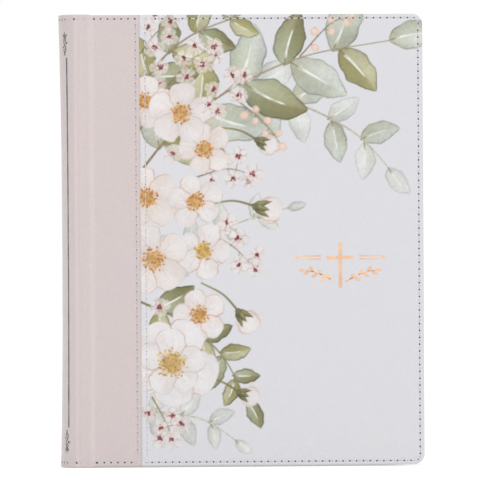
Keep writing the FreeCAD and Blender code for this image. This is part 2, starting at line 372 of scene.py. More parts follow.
    def petal(self, c, tip_, w, bend=0.0, col=(226, 220, 219), inner=(218, 205, 198), rim=(206, 172, 156), rim_a=0.5, seed=0,
              alpha=0.93, shade=0.011, ab=(0.9, 0.36), edge=0.03, kb=0.8, tipc=None, side2=None):
        c, tip_ = np.array(c, float), np.array(tip_, float)
        d = tip_ - c
        mid = (c + tip_) / 2 + np.array([-d[1], d[0]]) * bend
        self.blade(c, mid, tip_, w, ab=ab, left=col, right=side2 or col, base=inner, kb=kb, tip=tipc, edge=edge, alpha=alpha,
                   wob=0.045, streak=shade, rim=rim, rim_a=rim_a, grain=0.018, bloom=0.035, seed=seed, wash=0.42)


def bloomlet(A, x, y, r, seed, faint=False):
    """One of the tiny clustered blossoms: five round petals, barely darker than the paper, a dark red eye and a few specks."""
    rnd = np.random.RandomState(seed)
    a0 = rnd.rand() * 6.28
    tone = rnd.rand()
    for k in range(5):
        a = a0 + k * 1.2566 + rnd.uniform(-0.25, 0.25)
        L = r * rnd.uniform(0.82, 1.18)
        q = rnd.rand() * 0.6 + tone * 0.4
        col = (233 - 3 * q, 229 - 10 * q, 228 - 13 * q)
        A.petal((x, y), (x + L * math.cos(a), y + L * math.sin(a)), r * rnd.uniform(0.42, 0.56), col=col, inner=(226, 214, 207),
                rim=(186, 164, 152), rim_a=0.75, seed=seed + k, alpha=0.5 if faint else 0.84, ab=(0.8, 0.34), edge=0.03)
    if tone > 0.55 or faint:
        A.dot(x, y, r * 0.24, (206, 140, 138), alpha=0.55, soft=1.6)
    n = 5 if faint else 11
    for k in range(n):
        a, q = rnd.rand() * 6.28, r * rnd.uniform(0.02, 0.30)
        A.dot(x + q * math.cos(a), y + q * math.sin(a), rnd.uniform(0.55, 1.15), ((118, 36, 58), (142, 58, 74), (96, 34, 50), (158, 84, 70))[k % 4], alpha=0.6 if faint else 0.92)
    for k in range(0 if faint else 5):
        a, q = rnd.rand() * 6.28, r * rnd.uniform(0.30, 0.5)
        A.dot(x + q * math.cos(a), y + q * math.sin(a), 0.5, (150, 78, 78) if k % 2 else (190, 134, 84), alpha=0.8)


def stamens(A, x, y, n, r, seed, a0=0.0, a1=6.283, cols=((205, 146, 62), (188, 120, 44), (226, 180, 92))):
    rnd = np.random.RandomState(seed)
    for k in range(n):
        a = a0 + (a1 - a0) * (k + rnd.uniform(0.1, 0.9)) / n
        q = r * rnd.uniform(0.5, 1.0)
        ex, ey = x + q * math.cos(a), y + q * math.sin(a)
        c = cols[rnd.randint(len(cols))]
        A.stroke([(x + 0.15 * q * math.cos(a), y + 0.15 * q * math.sin(a)), (ex, ey)], 0.35, 0.3, (196, 160, 104), 0.8)
        A.dot(ex, ey, rnd.uniform(0.75, 1.35), c, alpha=0.95, ratio=0.75, ang=rnd.rand() * 3)


SAGE = dict(left=(209, 214, 207), right=(190, 196, 180), base=(168, 164, 132), tip=(200, 205, 196), edge=0.20)
PALE = dict(left=(217, 219, 216), right=(208, 211, 205), base=(196, 196, 182), tip=(210, 212, 206), edge=0.12, alpha=0.9)
OLIVE = dict(left=(206, 206, 174), right=(160, 157, 106), base=(146, 138, 92), tip=(178, 173, 126), edge=0.26)
MOSS = dict(left=(172, 176, 142), right=(132, 134, 92), base=(188, 194, 178), tip=(126, 112, 74), edge=0.28)


def one_leaf(A, x, y, ang, length, width, look, seed):
    """A plain pointed leaf with a pale midrib."""
    rnd = np.random.RandomState(seed)
    ex, ey = x + length * math.cos(ang), y + length * math.sin(ang)
    b = rnd.uniform(-0.14, 0.14) * length
    mx, my = (x + ex) / 2 - b * math.sin(ang), (y + ey) / 2 + b * math.cos(ang)
    if rnd.rand() < 0.5:
        look = dict(look, left=look["right"], right=look["left"])
    A.blade((x, y), (mx, my), (ex, ey), width, ab=(0.72, 0.92), kb=0.55, rib=(238, 240, 236), rib_t=(0.10, 0.70), rib_w=width * 0.075 + 0.25,
            veins=0.014, nv=9, bloom=0.09, seed=seed % 97, **look)
    A.stroke([(x, y), ((x * 0.6 + mx * 0.4), (y * 0.6 + my * 0.4))], 0.9, 0.3, (128, 112, 84), 0.7)


def spray(A, pts, n, l0, l1, ratio, looks, seed, col=(138, 116, 92), col2=(168, 160, 130), first=0.12, pairs=True, open_=0.95):
    """A stem through pts with leaves that grow smaller towards its end."""
    rnd = np.random.RandomState(seed)
    p = np.array(pts, float)
    seg = np.linalg.norm(np.diff(p, axis=0), axis=1)
    cum = np.concatenate([[0], np.cumsum(seg)]) / seg.sum()

    def at(t):
        return np.array([np.interp(t, cum, p[:, 0]), np.interp(t, cum, p[:, 1])])

    todo = []
    for k in range(n):
        t = first + (0.98 - first) * k / max(1, n - 1)
        a, b = at(max(0, t - 0.03)), at(min(1, t + 0.03))
        ang = math.atan2(b[1] - a[1], b[0] - a[0])
        length = l0 + (l1 - l0) * t
        for s in ((-1, 1) if pairs and k < n - 1 else ((-1, 1)[k % 2],)):
            spread = (open_ + rnd.uniform(-0.15, 0.15)) * s if k < n - 1 else 0.05
            todo.append((at(min(1, t + 0.012 * s)), ang + spread, length * rnd.uniform(0.88, 1.1), looks[(k + (s > 0)) % len(looks)], seed * 7 + k * 2 + (s > 0)))
    for q, ang, length, look, sd in todo:
        one_leaf(A, q[0], q[1], ang, length, length * ratio, look, sd)
    A.stroke(pts, 1.25, 0.55, col, 0.95, col2=col2)


def blossom(A, x, y, r, seed, tone=0.5, rows=1, gold=0):
    """A plain five-petalled blossom, seen from the front, pale with a warm heart."""
    rnd = np.random.RandomState(seed)
    a0 = rnd.rand() * 6.28
    brown = (196, 158, 138)
    warm = np.array((231, 219, 211)) * tone + np.array((228, 226, 228)) * (1 - tone)
    inner = np.array((222, 200, 182)) * tone + np.array((218, 202, 196)) * (1 - tone)
    for row in range(rows):
        n = 5
        k_r = 1.0 - 0.30 * row
        order = [0, 2, 4, 1, 3]
        for k in order:
            a = a0 + row * 0.63 + k * 2 * math.pi / n + rnd.uniform(-0.10, 0.10)
            L = r * k_r * rnd.uniform(0.92, 1.06)
            lift = rnd.uniform(-3, 3)
            col = tuple(np.clip(warm + lift, 0, 255))
            tip_ = (x + L * math.cos(a), y + L * math.sin(a))
            wide, turn = L * rnd.uniform(0.40, 0.46), rnd.uniform(-0.08, 0.08)
            A.blade((x, y), ((x + tip_[0]) / 2 - (tip_[1] - y) * turn, (y + tip_[1]) / 2 + (tip_[0] - x) * turn), tip_, wide * 0.98, ab=(0.78, 0.38), left=(229, 227, 228),
                    right=(229, 227, 228), edge=0.0, grain=0.01, bloom=0.02, wob=0.045, seed=(seed * 5 + k) % 97)
            A.petal((x, y), tip_, wide, bend=turn, col=col, inner=tuple(inner), rim=brown, rim_a=0.85, seed=(seed * 5 + k) % 97,
                    ab=(0.78, 0.38), kb=0.85)
            # a fold or two in the petal
            for f in (-0.16, 0.12):
                b = a + f + rnd.uniform(-0.05, 0.05)
                q0, q1 = rnd.uniform(0.22, 0.3), rnd.uniform(0.6, 0.8)
                A.stroke([(x + q0 * L * math.cos(a), y + q0 * L * math.sin(a)), (x + 0.5 * L * math.cos(b), y + 0.5 * L * math.sin(b)),
                          (x + q1 * L * math.cos(b + f * 0.3), y + q1 * L * math.sin(b + f * 0.3))], 0.6, 0.3, (204, 174, 158), 0.38)
            px, py = x + 0.66 * L * math.cos(a + 0.1), y + 0.66 * L * math.sin(a + 0.1)
            A.dot(px, py, L * 0.20, (236, 234, 234), alpha=0.35, soft=L * 0.3)
            A.dot(x + 0.72 * L * math.cos(a - 0.32), y + 0.72 * L * math.sin(a - 0.32), L * 0.13, (222, 204, 196), alpha=0.30, soft=L * 0.24)
    A.dot(x, y, r * 0.20, ((198, 148, 84), (196, 166, 78))[gold], alpha=0.55, soft=r * 0.12)
    cols = (((198, 128, 48), (176, 104, 38), (216, 156, 74)), ((190, 146, 52), (170, 126, 44), (220, 190, 76)))[gold]
    stamens(A, x, y, int(14 + r * 0.8), r * 0.36, seed + 1, cols=cols)
    stamens(A, x, y, int(8 + r * 0.4), r * 0.20, seed + 2, cols=cols[::-1])


def bud(A, x, y, ang, size, seed):
    """A closed bud in its green cup."""
    ca, sa = math.cos(ang), math.sin(ang)
    for k, (off, w) in enumerate(((0.28, 0.42), (-0.28, 0.42), (0.0, 0.46))):
        b = ang + off * 0.6
        A.petal((x, y), (x + size * math.cos(b), y + size * math.sin(b)), size * w, col=(231, 226, 224), inner=(224, 208, 198), rim=(200, 164, 148), rim_a=0.8,
                seed=seed + k, ab=(0.62, 0.46))
    for off, q in ((-0.75, 0.62), (0.75, 0.62), (0.1, 0.5)):
        b = ang + off * 0.7
        A.blade((x - 3 * ca, y - 3 * sa), (x + size * 0.22 * math.cos(b + off * 0.4), y + size * 0.22 * math.sin(b + off * 0.4)), (x + size * q * math.cos(b), y + size * q * math.sin(b)),
                size * 0.13, ab=(0.6, 1.1), left=(148, 146, 98), right=(112, 108, 70), edge=0.28, seed=(seed + int(off * 10)) % 97)
    A.dot(x - 2 * ca, y - 2 * sa, size * 0.13, (118, 112, 74), alpha=0.95, edge=0.2)


def twig(A, pts, n, r, seed, kind="bloomlet"):
    """A thin twig that carries tiny blossoms or berries."""
    rnd = np.random.RandomState(seed)
    A.stroke(pts, 0.75, 0.45, (128, 106, 80), 0.85, col2=(156, 144, 106))
    p = np.array(pts, float)
    seg = np.linalg.norm(np.diff(p, axis=0), axis=1)
    cum = np.concatenate([[0], np.cumsum(seg)]) / seg.sum()
    for k in range(n):
        t = 0.25 + 0.75 * k / max(1, n - 1)
        x, y = np.interp(t, cum, p[:, 0]), np.interp(t, cum, p[:, 1])
        s = -1 if k % 2 else 1
        a = rnd.uniform(0.9, 1.5) * s + math.atan2(p[-1, 1] - p[0, 1], p[-1, 0] - p[0, 0])
        d = rnd.uniform(0.9, 1.7) * r if k < n - 1 else 0.3
        ex, ey = x + d * math.cos(a), y + d * math.sin(a)
        A.stroke([(x, y), (ex, ey)], 0.4, 0.3, (138, 118, 90), 0.8)
        if kind == "bloomlet":
            bloomlet(A, ex, ey, r * rnd.uniform(0.85, 1.1), seed * 31 + k)
        else:
            A.dot(ex, ey, r * rnd.uniform(0.8, 1.1), (238, 207, 187), alpha=0.85, edge=0.10, ratio=0.92, ang=k)
            A.dot(ex + 0.6, ey - 0.6, r * 0.3, (243, 222, 206), alpha=0.6, soft=1.2)


def paint():
    """A spray of plain blossoms and leaves that hangs along the seam and thins out to the right."""
    A = Art()
    # pale sprays behind
    spray(A, [(138, 268), (186, 246), (238, 222), (292, 206)], 5, 34, 22, 0.25, (PALE,), 11, col=(176, 172, 150), col2=(196, 196, 182))
    spray(A, [(236, 84), (300, 104), (356, 134), (392, 172)], 5, 52, 34, 0.27, (PALE, SAGE), 12, col=(170, 166, 142), col2=(190, 190, 172))
    spray(A, [(138, 410), (170, 412), (204, 420), (234, 440)], 4, 36, 24, 0.26, (PALE,), 13, col=(180, 178, 156), col2=(196, 196, 182))
    # main sprays of leaves
    spray(A, [(138, 172), (176, 128), (232, 88), (304, 56), (392, 40)], 6, 74, 54, 0.27, (SAGE, OLIVE, SAGE, MOSS), 21)
    spray(A, [(138, 92), (160, 60), (192, 34), (236, 16), (262, 4)], 5, 48, 34, 0.28, (OLIVE, MOSS), 22)
    spray(A, [(138, 300), (176, 318), (218, 352), (246, 402)], 6, 44, 28, 0.27, (MOSS, OLIVE), 23, col=(124, 116, 76), col2=(150, 146, 100))
    # berries and twigs of tiny blossoms
    twig(A, [(232, 96), (262, 120), (282, 146)], 8, 4.6, 31, "berry")
    twig(A, [(300, 56), (330, 24), (352, 16)], 6, 4.2, 32, "berry")
    for i, (pts, n) in enumerate((([(140, 52), (156, 32), (170, 20)], 5), ([(168, 84), (190, 60), (214, 46)], 6), ([(190, 110), (218, 96), (244, 74)], 5), ([(140, 128), (152, 108), (158, 82)], 5),
                                  ([(196, 176), (226, 168), (252, 174)], 6), ([(150, 396), (162, 418), (170, 438)], 6), ([(206, 232), (232, 246), (254, 268)], 5))):
        twig(A, pts, n, 9.0, 40 + i)
    # buds on their stalks
    for pts, ang, size, sd in (([(206, 204), (232, 200), (256, 206)], 0.20, 26, 51), ([(200, 282), (222, 294), (238, 312)], 0.85, 24, 54), ([(216, 126), (240, 130), (258, 140)], 0.45, 20, 57),
                               ([(196, 372), (222, 382), (238, 392)], 0.35, 20, 60)):
        A.stroke(pts, 0.8, 1.1, (150, 142, 100), 0.95, col2=(112, 104, 70))
        bud(A, pts[-1][0], pts[-1][1], ang, size, sd)
    # blossoms, from the back to the front
    blossom(A, 144, 100, 26, 71, 0.6)
    blossom(A, 204, 148, 27, 72, 0.75)
    blossom(A, 202, 250, 27, 74, 0.25, gold=1)
    blossom(A, 180, 112, 31, 75, 0.45)
    blossom(A, 146, 196, 31, 76, 0.8)
    blossom(A, 194, 200, 28, 77, 0.35)
    blossom(A, 152, 258, 36, 80, 0.55)
    blossom(A, 198, 314, 27, 79, 0.5)
    blossom(A, 170, 362, 46, 78, 0.12, rows=2, gold=1)
    bloomlet(A, 172, 152, 10, 401)
    bloomlet(A, 226, 222, 10, 402)
    bloomlet(A, 158, 306, 10, 403)
    bloomlet(A, 208, 104, 9.5, 404)
    bloomlet(A, 160, 66, 9.5, 405)
    return A
# ---------------------------------------------------------------- leather wraps
def section_loop(z0, z1, t, rows, ro, ri):
    """Closed outline in (height, depth) of a strip of leather folded over at head and tail."""
    pts = [(z, 0.0) for z in rows]
    for a in np.linspace(0, math.pi / 2, 6)[1:]:
        pts.append((z1 - ro + ro * math.sin(a), ro - ro * math.cos(a)))
    for a in np.linspace(0, math.pi / 2, 4):
        pts.append((z1 - ri + ri * math.cos(a), t - ri + ri * math.sin(a)))
    n_in = 9
    for k in range(1, n_in):
        pts.append((z1 - ri + (z0 + ri - z1 + ri) * k / n_in, t))
    for a in np.linspace(math.pi / 2, 0, 4):
        pts.append((z0 + ri - ri * math.cos(a), t - ri + ri * math.sin(a)))
    for a in np.linspace(math.pi / 2, 0, 6)[:-1]:
        pts.append((z0 + ro - ro * math.sin(a), ro - ro * math.cos(a)))
    return pts


def z_rows(z0, z1, ro):
    """Heights of the rows of a wrap's outer face: close together near head and tail, where the stitches are."""
    near = [0.0, 0.4, 0.8, 1.15, 1.5, 1.85, 2.2, 2.6, 3.0, 3.6, 4.6, 6.2, 8.5]
    a, b = z0 + ro, z1 - ro
    low = [a + q - 0.0 for q in near]
    high = [b - q for q in near][::-1]
    mid = list(np.linspace(low[-1], high[0], 58))[1:-1]
    return low + mid + high


def wrap(name, prof, inward, thick, z0s, z1s, mats, offset=None, closed_caps=True, attrs=None):
    """Folded strip along a profile. prof: (u, y) of the outer face, inward: unit vectors, offset(i, z): shift of a point in (u, y)."""
    verts, n = [], len(prof)
    loops = []
    prof_s = np.concatenate([[0], np.cumsum(np.linalg.norm(np.diff(prof, axis=0), axis=1))])
    wr = []
    for i in range(n):
        t = thick[i]
        ro, ri = min(0.85, t * 0.5), min(0.5, t * 0.38)
        loop = section_loop(z0s[i], z1s[i], t, z_rows(z0s[i], z1s[i], ro), ro, ri)
        idx = []
        for z, d in loop:
            du, dy = offset(i, z) if offset else (0.0, 0.0)
            u = prof[i][0] + inward[i][0] * d + du
            y = prof[i][1] + inward[i][1] * d + dy
            idx.append(len(verts))
            verts.append(mm(u, y, z))
            wr.append((prof_s[i] / 1000.0, z / 1000.0, d / 1000.0))
        loops.append(idx)
    m = len(loops[0])
    faces = []
    for i in range(n - 1):
        for k in range(m):
            a, b = loops[i][k], loops[i][(k + 1) % m]
            c, d = loops[i + 1][(k + 1) % m], loops[i + 1][k]
            faces.append((a, b, c, d))
    faces.append(tuple(loops[0][::-1]))
    faces.append(tuple(loops[-1]))
    at = {"wco": ("FLOAT_VECTOR", wr)}
    at.update(attrs or {})
    ob = make_mesh(name, verts, faces, mats, attrs=at)
    fix_normals(ob)
    return ob


def fix_normals(ob):
    bm = bmesh.new()
    bm.from_mesh(ob.data)
    bmesh.ops.recalc_face_normals(bm, faces=bm.faces)
    bm.to_mesh(ob.data)
    bm.free()


def joint_profile():
    """(u, depth from the middle plane) of the leather from inside the spine's arc, over the shoulder, the groove and on to the seam."""
    arc = [(R - R * math.cos(a), R * math.sin(a)) for a in np.linspace(0.80 * TH_S, 0.965 * TH_S, 6)]
    ctrl = arc + [(6.30, 18.55), (6.75, 19.02), (7.4, 18.98), (8.1, 18.62), (9.0, 18.28), (10.0, 18.04), (11.2, 17.92), (12.4, 17.98),
                  (13.4, 18.22), (14.4, 18.54), (15.4, 18.76), (16.4, FACE), (17.5, FACE), (18.6, FACE)]
    curve = bspline(ctrl, 84)
    rest = np.concatenate([np.arange(19.4, 34.6, 0.95), np.arange(34.7, 37.1, 0.3), [37.2, 37.4, 37.6, 37.72, SEAM]])
    return np.vstack([curve, np.array([(u, FACE) for u in rest])])


def inward_of(prof, sgn):
    """Unit vectors across a profile, towards the inside of the book."""
    t = np.gradient(prof, axis=0)
    t /= np.linalg.norm(t, axis=1)[:, None]
    n = np.stack([-t[:, 1], t[:, 0]], 1)
    flip = np.where(n @ np.array([0.35, -1.0 * sgn]) < 0, -1.0, 1.0)
    return n * flip[:, None]


JOINT = joint_profile()


def side_wrap(side, sgn, replaced):
    prof = JOINT.copy()
    prof[:, 1] *= sgn
    inn = inward_of(prof, sgn)
    k = smooth01(12.6, 15.2, prof[:, 0])
    inn = inn * (1 - k)[:, None] + np.array([0.0, -sgn]) * k[:, None]
    inn /= np.linalg.norm(inn, axis=1)[:, None]
    thick = 1.1 + (COVER_T - 1.1) * k
    z0 = Z_BOARD * smooth01(12.5, 16.0, prof[:, 0])

    def off(i, z):
        u = prof[i][0]
        if u > 15.0:
            s = float(sink(u, z)) * float(smooth01(15.0, 17.0, u))
            return 0.0, -sgn * s
        b = bow(z) * spine_share(math.asin(min(1.0, abs(prof[i][1]) / R))) if u < 6.3 else 0.0
        dent = 0.13 * math.exp(-(min(abs(z - EDGE_IN), abs(z - H + EDGE_IN)) / 0.75) ** 2)
        return b + dent * inn[i][0], dent * inn[i][1]

    ob = wrap(side + "_leather_wrap", prof, inn, thick, z0, H - z0, [M["pink"]], offset=off)
    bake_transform(ob)
    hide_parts(*replaced)
    return ob


def bow(z):
    """The spine is drawn in at mid height and flares at head and tail."""
    q = abs(2 * z / H - 1)
    return 1.30 * (1 - q ** 2.4)


def spine_share(a):
    return math.cos(min(1.0, abs(a) / TH_S) * math.pi / 2) ** 1.2


def spine_point(a, z, d=0.0):
    """Point on the spine at angle a (negative towards the front), d millimetres inside the leather's face."""
    r = R - d
    return (R - r * math.cos(a) + bow(z) * spine_share(a), r * math.sin(a), z)


def spine_wrap(name, d0, thick, z0, z1, a_end, mat, replaced):
    angles = np.linspace(a_end, -a_end, 72)
    mid = np.abs(angles) < 0.10
    extra = np.linspace(-0.10, 0.10, 15)
    angles = np.array(sorted(set(np.round(np.concatenate([angles[~mid], extra]), 6)), reverse=True))
    prof = np.array([(R - (R - d0) * math.cos(a), (R - d0) * math.sin(a)) for a in angles])
    inn = np.array([(math.cos(a), -math.sin(a)) for a in angles])

    def off(i, z):
        dent = 0.13 * math.exp(-(min(abs(z - EDGE_IN), abs(z - H + EDGE_IN)) / 0.75) ** 2) if d0 == 0 else 0.0
        return bow(z) * spine_share(angles[i]) + dent * inn[i][0], dent * inn[i][1]

    n = len(angles)
    ob = wrap(name, prof, inn, [thick] * n, [z0] * n, [z1] * n, [mat], offset=off)
    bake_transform(ob)
    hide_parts(*replaced)
    return ob


# ---------------------------------------------------------------- cover panels
def panel(name, sgn, body, node, colour_at, mat, root=8):
    """A covered board's white panel: fine where the colours change, coarse where they don't, with rounded wrapped edges."""
    r = 5.0
    u0, u1, z0, z1 = SEAM, WID - r, ZB0 + r, ZB1 - r
    nu, nz = (44, 70) if root == 8 else (22, 35)
    nu, nz = nu * root, nz * root
    us, zs = np.linspace(u0, u1, nu + 1), np.linspace(z0, z1, nz + 1)
    UU, ZZ = np.meshgrid(us, zs)
    C = colour_at(UU, ZZ)
    # which cells stay whole
    size = root
    cells = [(j, i) for j in range(0, nz, size) for i in range(0, nu, size)]
    leaves = []
    limits = {8: 0.013, 4: 0.028, 2: 0.058}
    while cells:
        if size == 1:
            leaves += [(j, i, 1) for j, i in cells]
            break
        nxt = []
        lim = limits.get(size, 0.02)
        for j, i in cells:
            blk = C[j:j + size + 1, i:i + size + 1]
            near_edge = us[i] < ROW_PANEL + 0.9 and size > 2
            if near_edge or (blk.reshape(-1, 3).max(0) - blk.reshape(-1, 3).min(0)).max() > lim:
                h = size // 2
                nxt += [(j, i), (j, i + h), (j + h, i), (j + h, i + h)]
            else:
                leaves.append((j, i, size))
        cells, size = nxt, size // 2
    used = np.zeros((nz + 1, nu + 1), bool)
    for j, i, s in leaves:
        used[j, i] = used[j + s, i] = used[j, i + s] = used[j + s, i + s] = True
        if s > 1:
            used[j + s // 2, i + s // 2] = used[j + s // 2, i + s // 2]
    used[0, ::2] = used[-1, ::2] = True
    used[::2, -1] = True
    index = -np.ones((nz + 1, nu + 1), int)
    verts, cols, faces = [], [], []

    def add(u, z, depth, c):
        verts.append(mm(u, sgn * (FACE - depth), z))
        cols.append((c[0], c[1], c[2], 1.0))
        return len(verts) - 1

    S = sink(UU, ZZ)

    def vid(j, i):
        if index[j, i] < 0:
            index[j, i] = add(us[i], zs[j], S[j, i], C[j, i])
        return int(index[j, i])

    for j, i, s in leaves:
        ring = [(j, i + k) for k in range(s) if k == 0 or used[j, i + k]]
        ring += [(j + k, i + s) for k in range(s) if k == 0 or used[j + k, i + s]]
        ring += [(j + s, i + s - k) for k in range(s) if k == 0 or used[j + s, i + s - k]]
        ring += [(j + s - k, i) for k in range(s) if k == 0 or used[j + s - k, i]]
        ids = [vid(*q) for q in ring]
        if len(ids) == 4:
            faces.append(tuple(ids))
        else:
            c = vid(j + s // 2, i + s // 2)
            for k in range(len(ids)):
                faces.append((ids[k], ids[(k + 1) % len(ids)], c))
    # the border: from the inner rectangle out to the edge, over it and back inside
    path = [(us[i], z1, 0.0, 1.0, vid(nz, i)) for i in range(nu + 1) if used[nz, i]]
    path += [(u1, z1, math.sin(a), math.cos(a), vid(nz, nu)) for a in np.linspace(0, math.pi / 2, 13)[1:-1]]
    path += [(u1, zs[j], 1.0, 0.0, vid(j, nu)) for j in range(nz, -1, -1) if used[j, nu]]
    path += [(u1, z0, math.cos(a), -math.sin(a), vid(0, nu)) for a in np.linspace(0, math.pi / 2, 13)[1:-1]]
    path += [(us[i], z0, 0.0, -1.0, vid(0, i)) for i in range(nu, -1, -1) if used[0, i]]
    ro, ri, t = 1.0, 0.6, COVER_T
    out_p = [(o, 0.0) for o in (0.55, 1.05, 1.5, 1.95, 2.35, 2.7, 3.05, 3.4, 3.75, r - ro)]
    out_p += [(r - ro + ro * math.sin(a), ro - ro * math.cos(a)) for a in np.linspace(0, math.pi / 2, 7)[1:]]
    out_p += [(r - ri + ri * math.cos(a), t - ri + ri * math.sin(a)) for a in np.linspace(0, math.pi / 2, 5)]
    out_p += [(0.0, t)]
    rows = []
    for o, d in out_p:
        u = np.array([p[0] + p[2] * o for p in path])
        z = np.array([p[1] + p[3] * o for p in path])
        cc = colour_at(np.clip(u, u0, WID - 0.3), np.clip(z, ZB0 + 0.3, ZB1 - 0.3))
        fall = sink(u, z) if d < 1.2 else np.zeros(len(u))
        fall = fall * (1.0 if d < 0.3 else 0.5)
        row = []
        for k, p in enumerate(path):
            if o == 0.0 and k and path[k - 1][:2] == p[:2]:
                row.append(row[-1])
                continue
            row.append(add(u[k], z[k], d + fall[k], cc[k]))
        rows.append(row)
    prev = [p[4] for p in path]
    for row in rows:
        for k in range(len(path) - 1):
            q = [prev[k], prev[k + 1], row[k + 1], row[k]]
            f = []
            for v in q:
                if v not in f:
                    f.append(v)
            if len(f) >= 3:
                faces.append(tuple(f))
        prev = row
    inner = []
    for v in rows[-1]:
        if not inner or inner[-1] != v:
            inner.append(v)
    faces.append(tuple(inner))
    left = [vid(j, 0) for j in range(nz, -1, -1) if used[j, 0]]
    cap = [row[0] for row in rows[::-1]] + left + [row[-1] for row in rows]
    faces.append(tuple(cap))
    ob = make_mesh(name, verts, faces, [mat], attrs={"ink": ("FLOAT_COLOR", cols)})
    fix_normals(ob)
    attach(ob, body)
    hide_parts(node)
    return ob


# ---------------------------------------------------------------- thread and needle holes
def thread_mesh(name, frames, length, mats, width=0.30, rise=0.17, lean=0.0, hole_r=0.42, holes=True, hole_w=1.0):
    """frames: (point, along, out) in metres and unit vectors. Each stitch is a plump bar of thread that dives into a hole at each end."""
    verts, faces, fm = [], [], []
    L = length / 2000.0
    ring_n, along_n = 8, 7
    for P, T, N in frames:
        P, T, N = Vector(P), Vector(T).normalized(), Vector(N).normalized()
        B = N.cross(T).normalized()
        T2 = (T + B * lean).normalized()
        B2 = N.cross(T2).normalized()
        base = len(verts)
        for i in range(along_n):
            q = -1 + 2 * i / (along_n - 1)
            w = math.sqrt(max(0.0, 1 - abs(q) ** 3)) * 0.8 + 0.2
            up = rise * (1 - abs(q) ** 2.5) - 0.10 * abs(q) ** 6
            for k in range(ring_n):
                a = 2 * math.pi * k / ring_n
                verts.append(P + T2 * (q * L) + B2 * (width * w * math.cos(a) / 1000) + N * ((up * 0.45 + 0.5 * rise * w * math.sin(a)) / 1000))
        for i in range(along_n - 1):
            for k in range(ring_n):
                a, b = base + i * ring_n + k, base + i * ring_n + (k + 1) % ring_n
                faces.append((a, b, b + ring_n, a + ring_n))
                fm.append(0)
        faces.append(tuple(base + k for k in range(ring_n))[::-1])
        fm.append(0)
        faces.append(tuple(base + (along_n - 1) * ring_n + k for k in range(ring_n)))
        fm.append(0)
        # each needle hole is a dark disc that sits just above the leather and reaches a little below: painted shade for
        # the hollow of the hole
        if holes:
            for e in (1,):
                c = P + T * (e * (L + hole_r * 0.55 / 1000))
                b0 = len(verts)
                for k in range(10):
                    a = 2 * math.pi * k / 10
                    verts.append(c + T * (hole_r * math.cos(a) / 1000) + B * (hole_r * hole_w * math.sin(a) / 1000) + N * 0.00002)
                for k in range(10):
                    a = 2 * math.pi * k / 10
                    verts.append(c + T * (hole_r * math.cos(a) / 1000) + B * (hole_r * hole_w * math.sin(a) / 1000) - N * 0.00025)
                faces.append(tuple(b0 + k for k in range(10)))
                fm.append(1)
                faces.append(tuple(b0 + 10 + k for k in range(10))[::-1])
                fm.append(1)
                for k in range(10):
                    faces.append((b0 + (k + 1) % 10, b0 + k, b0 + 10 + k, b0 + 10 + (k + 1) % 10))
                    fm.append(1)
    ob = make_mesh(name, verts, faces, mats, face_mat=fm)
    fix_normals(ob)
    return ob


def cover_frames(line, sgn, lift=0.0):
    res = []
    for u, z, du, dz in line:
        s = float(sink(u, z))
        res.append((mm(u, sgn * (FACE - s + lift), z), (du, 0, dz), (0, sgn, 0)))
    return res
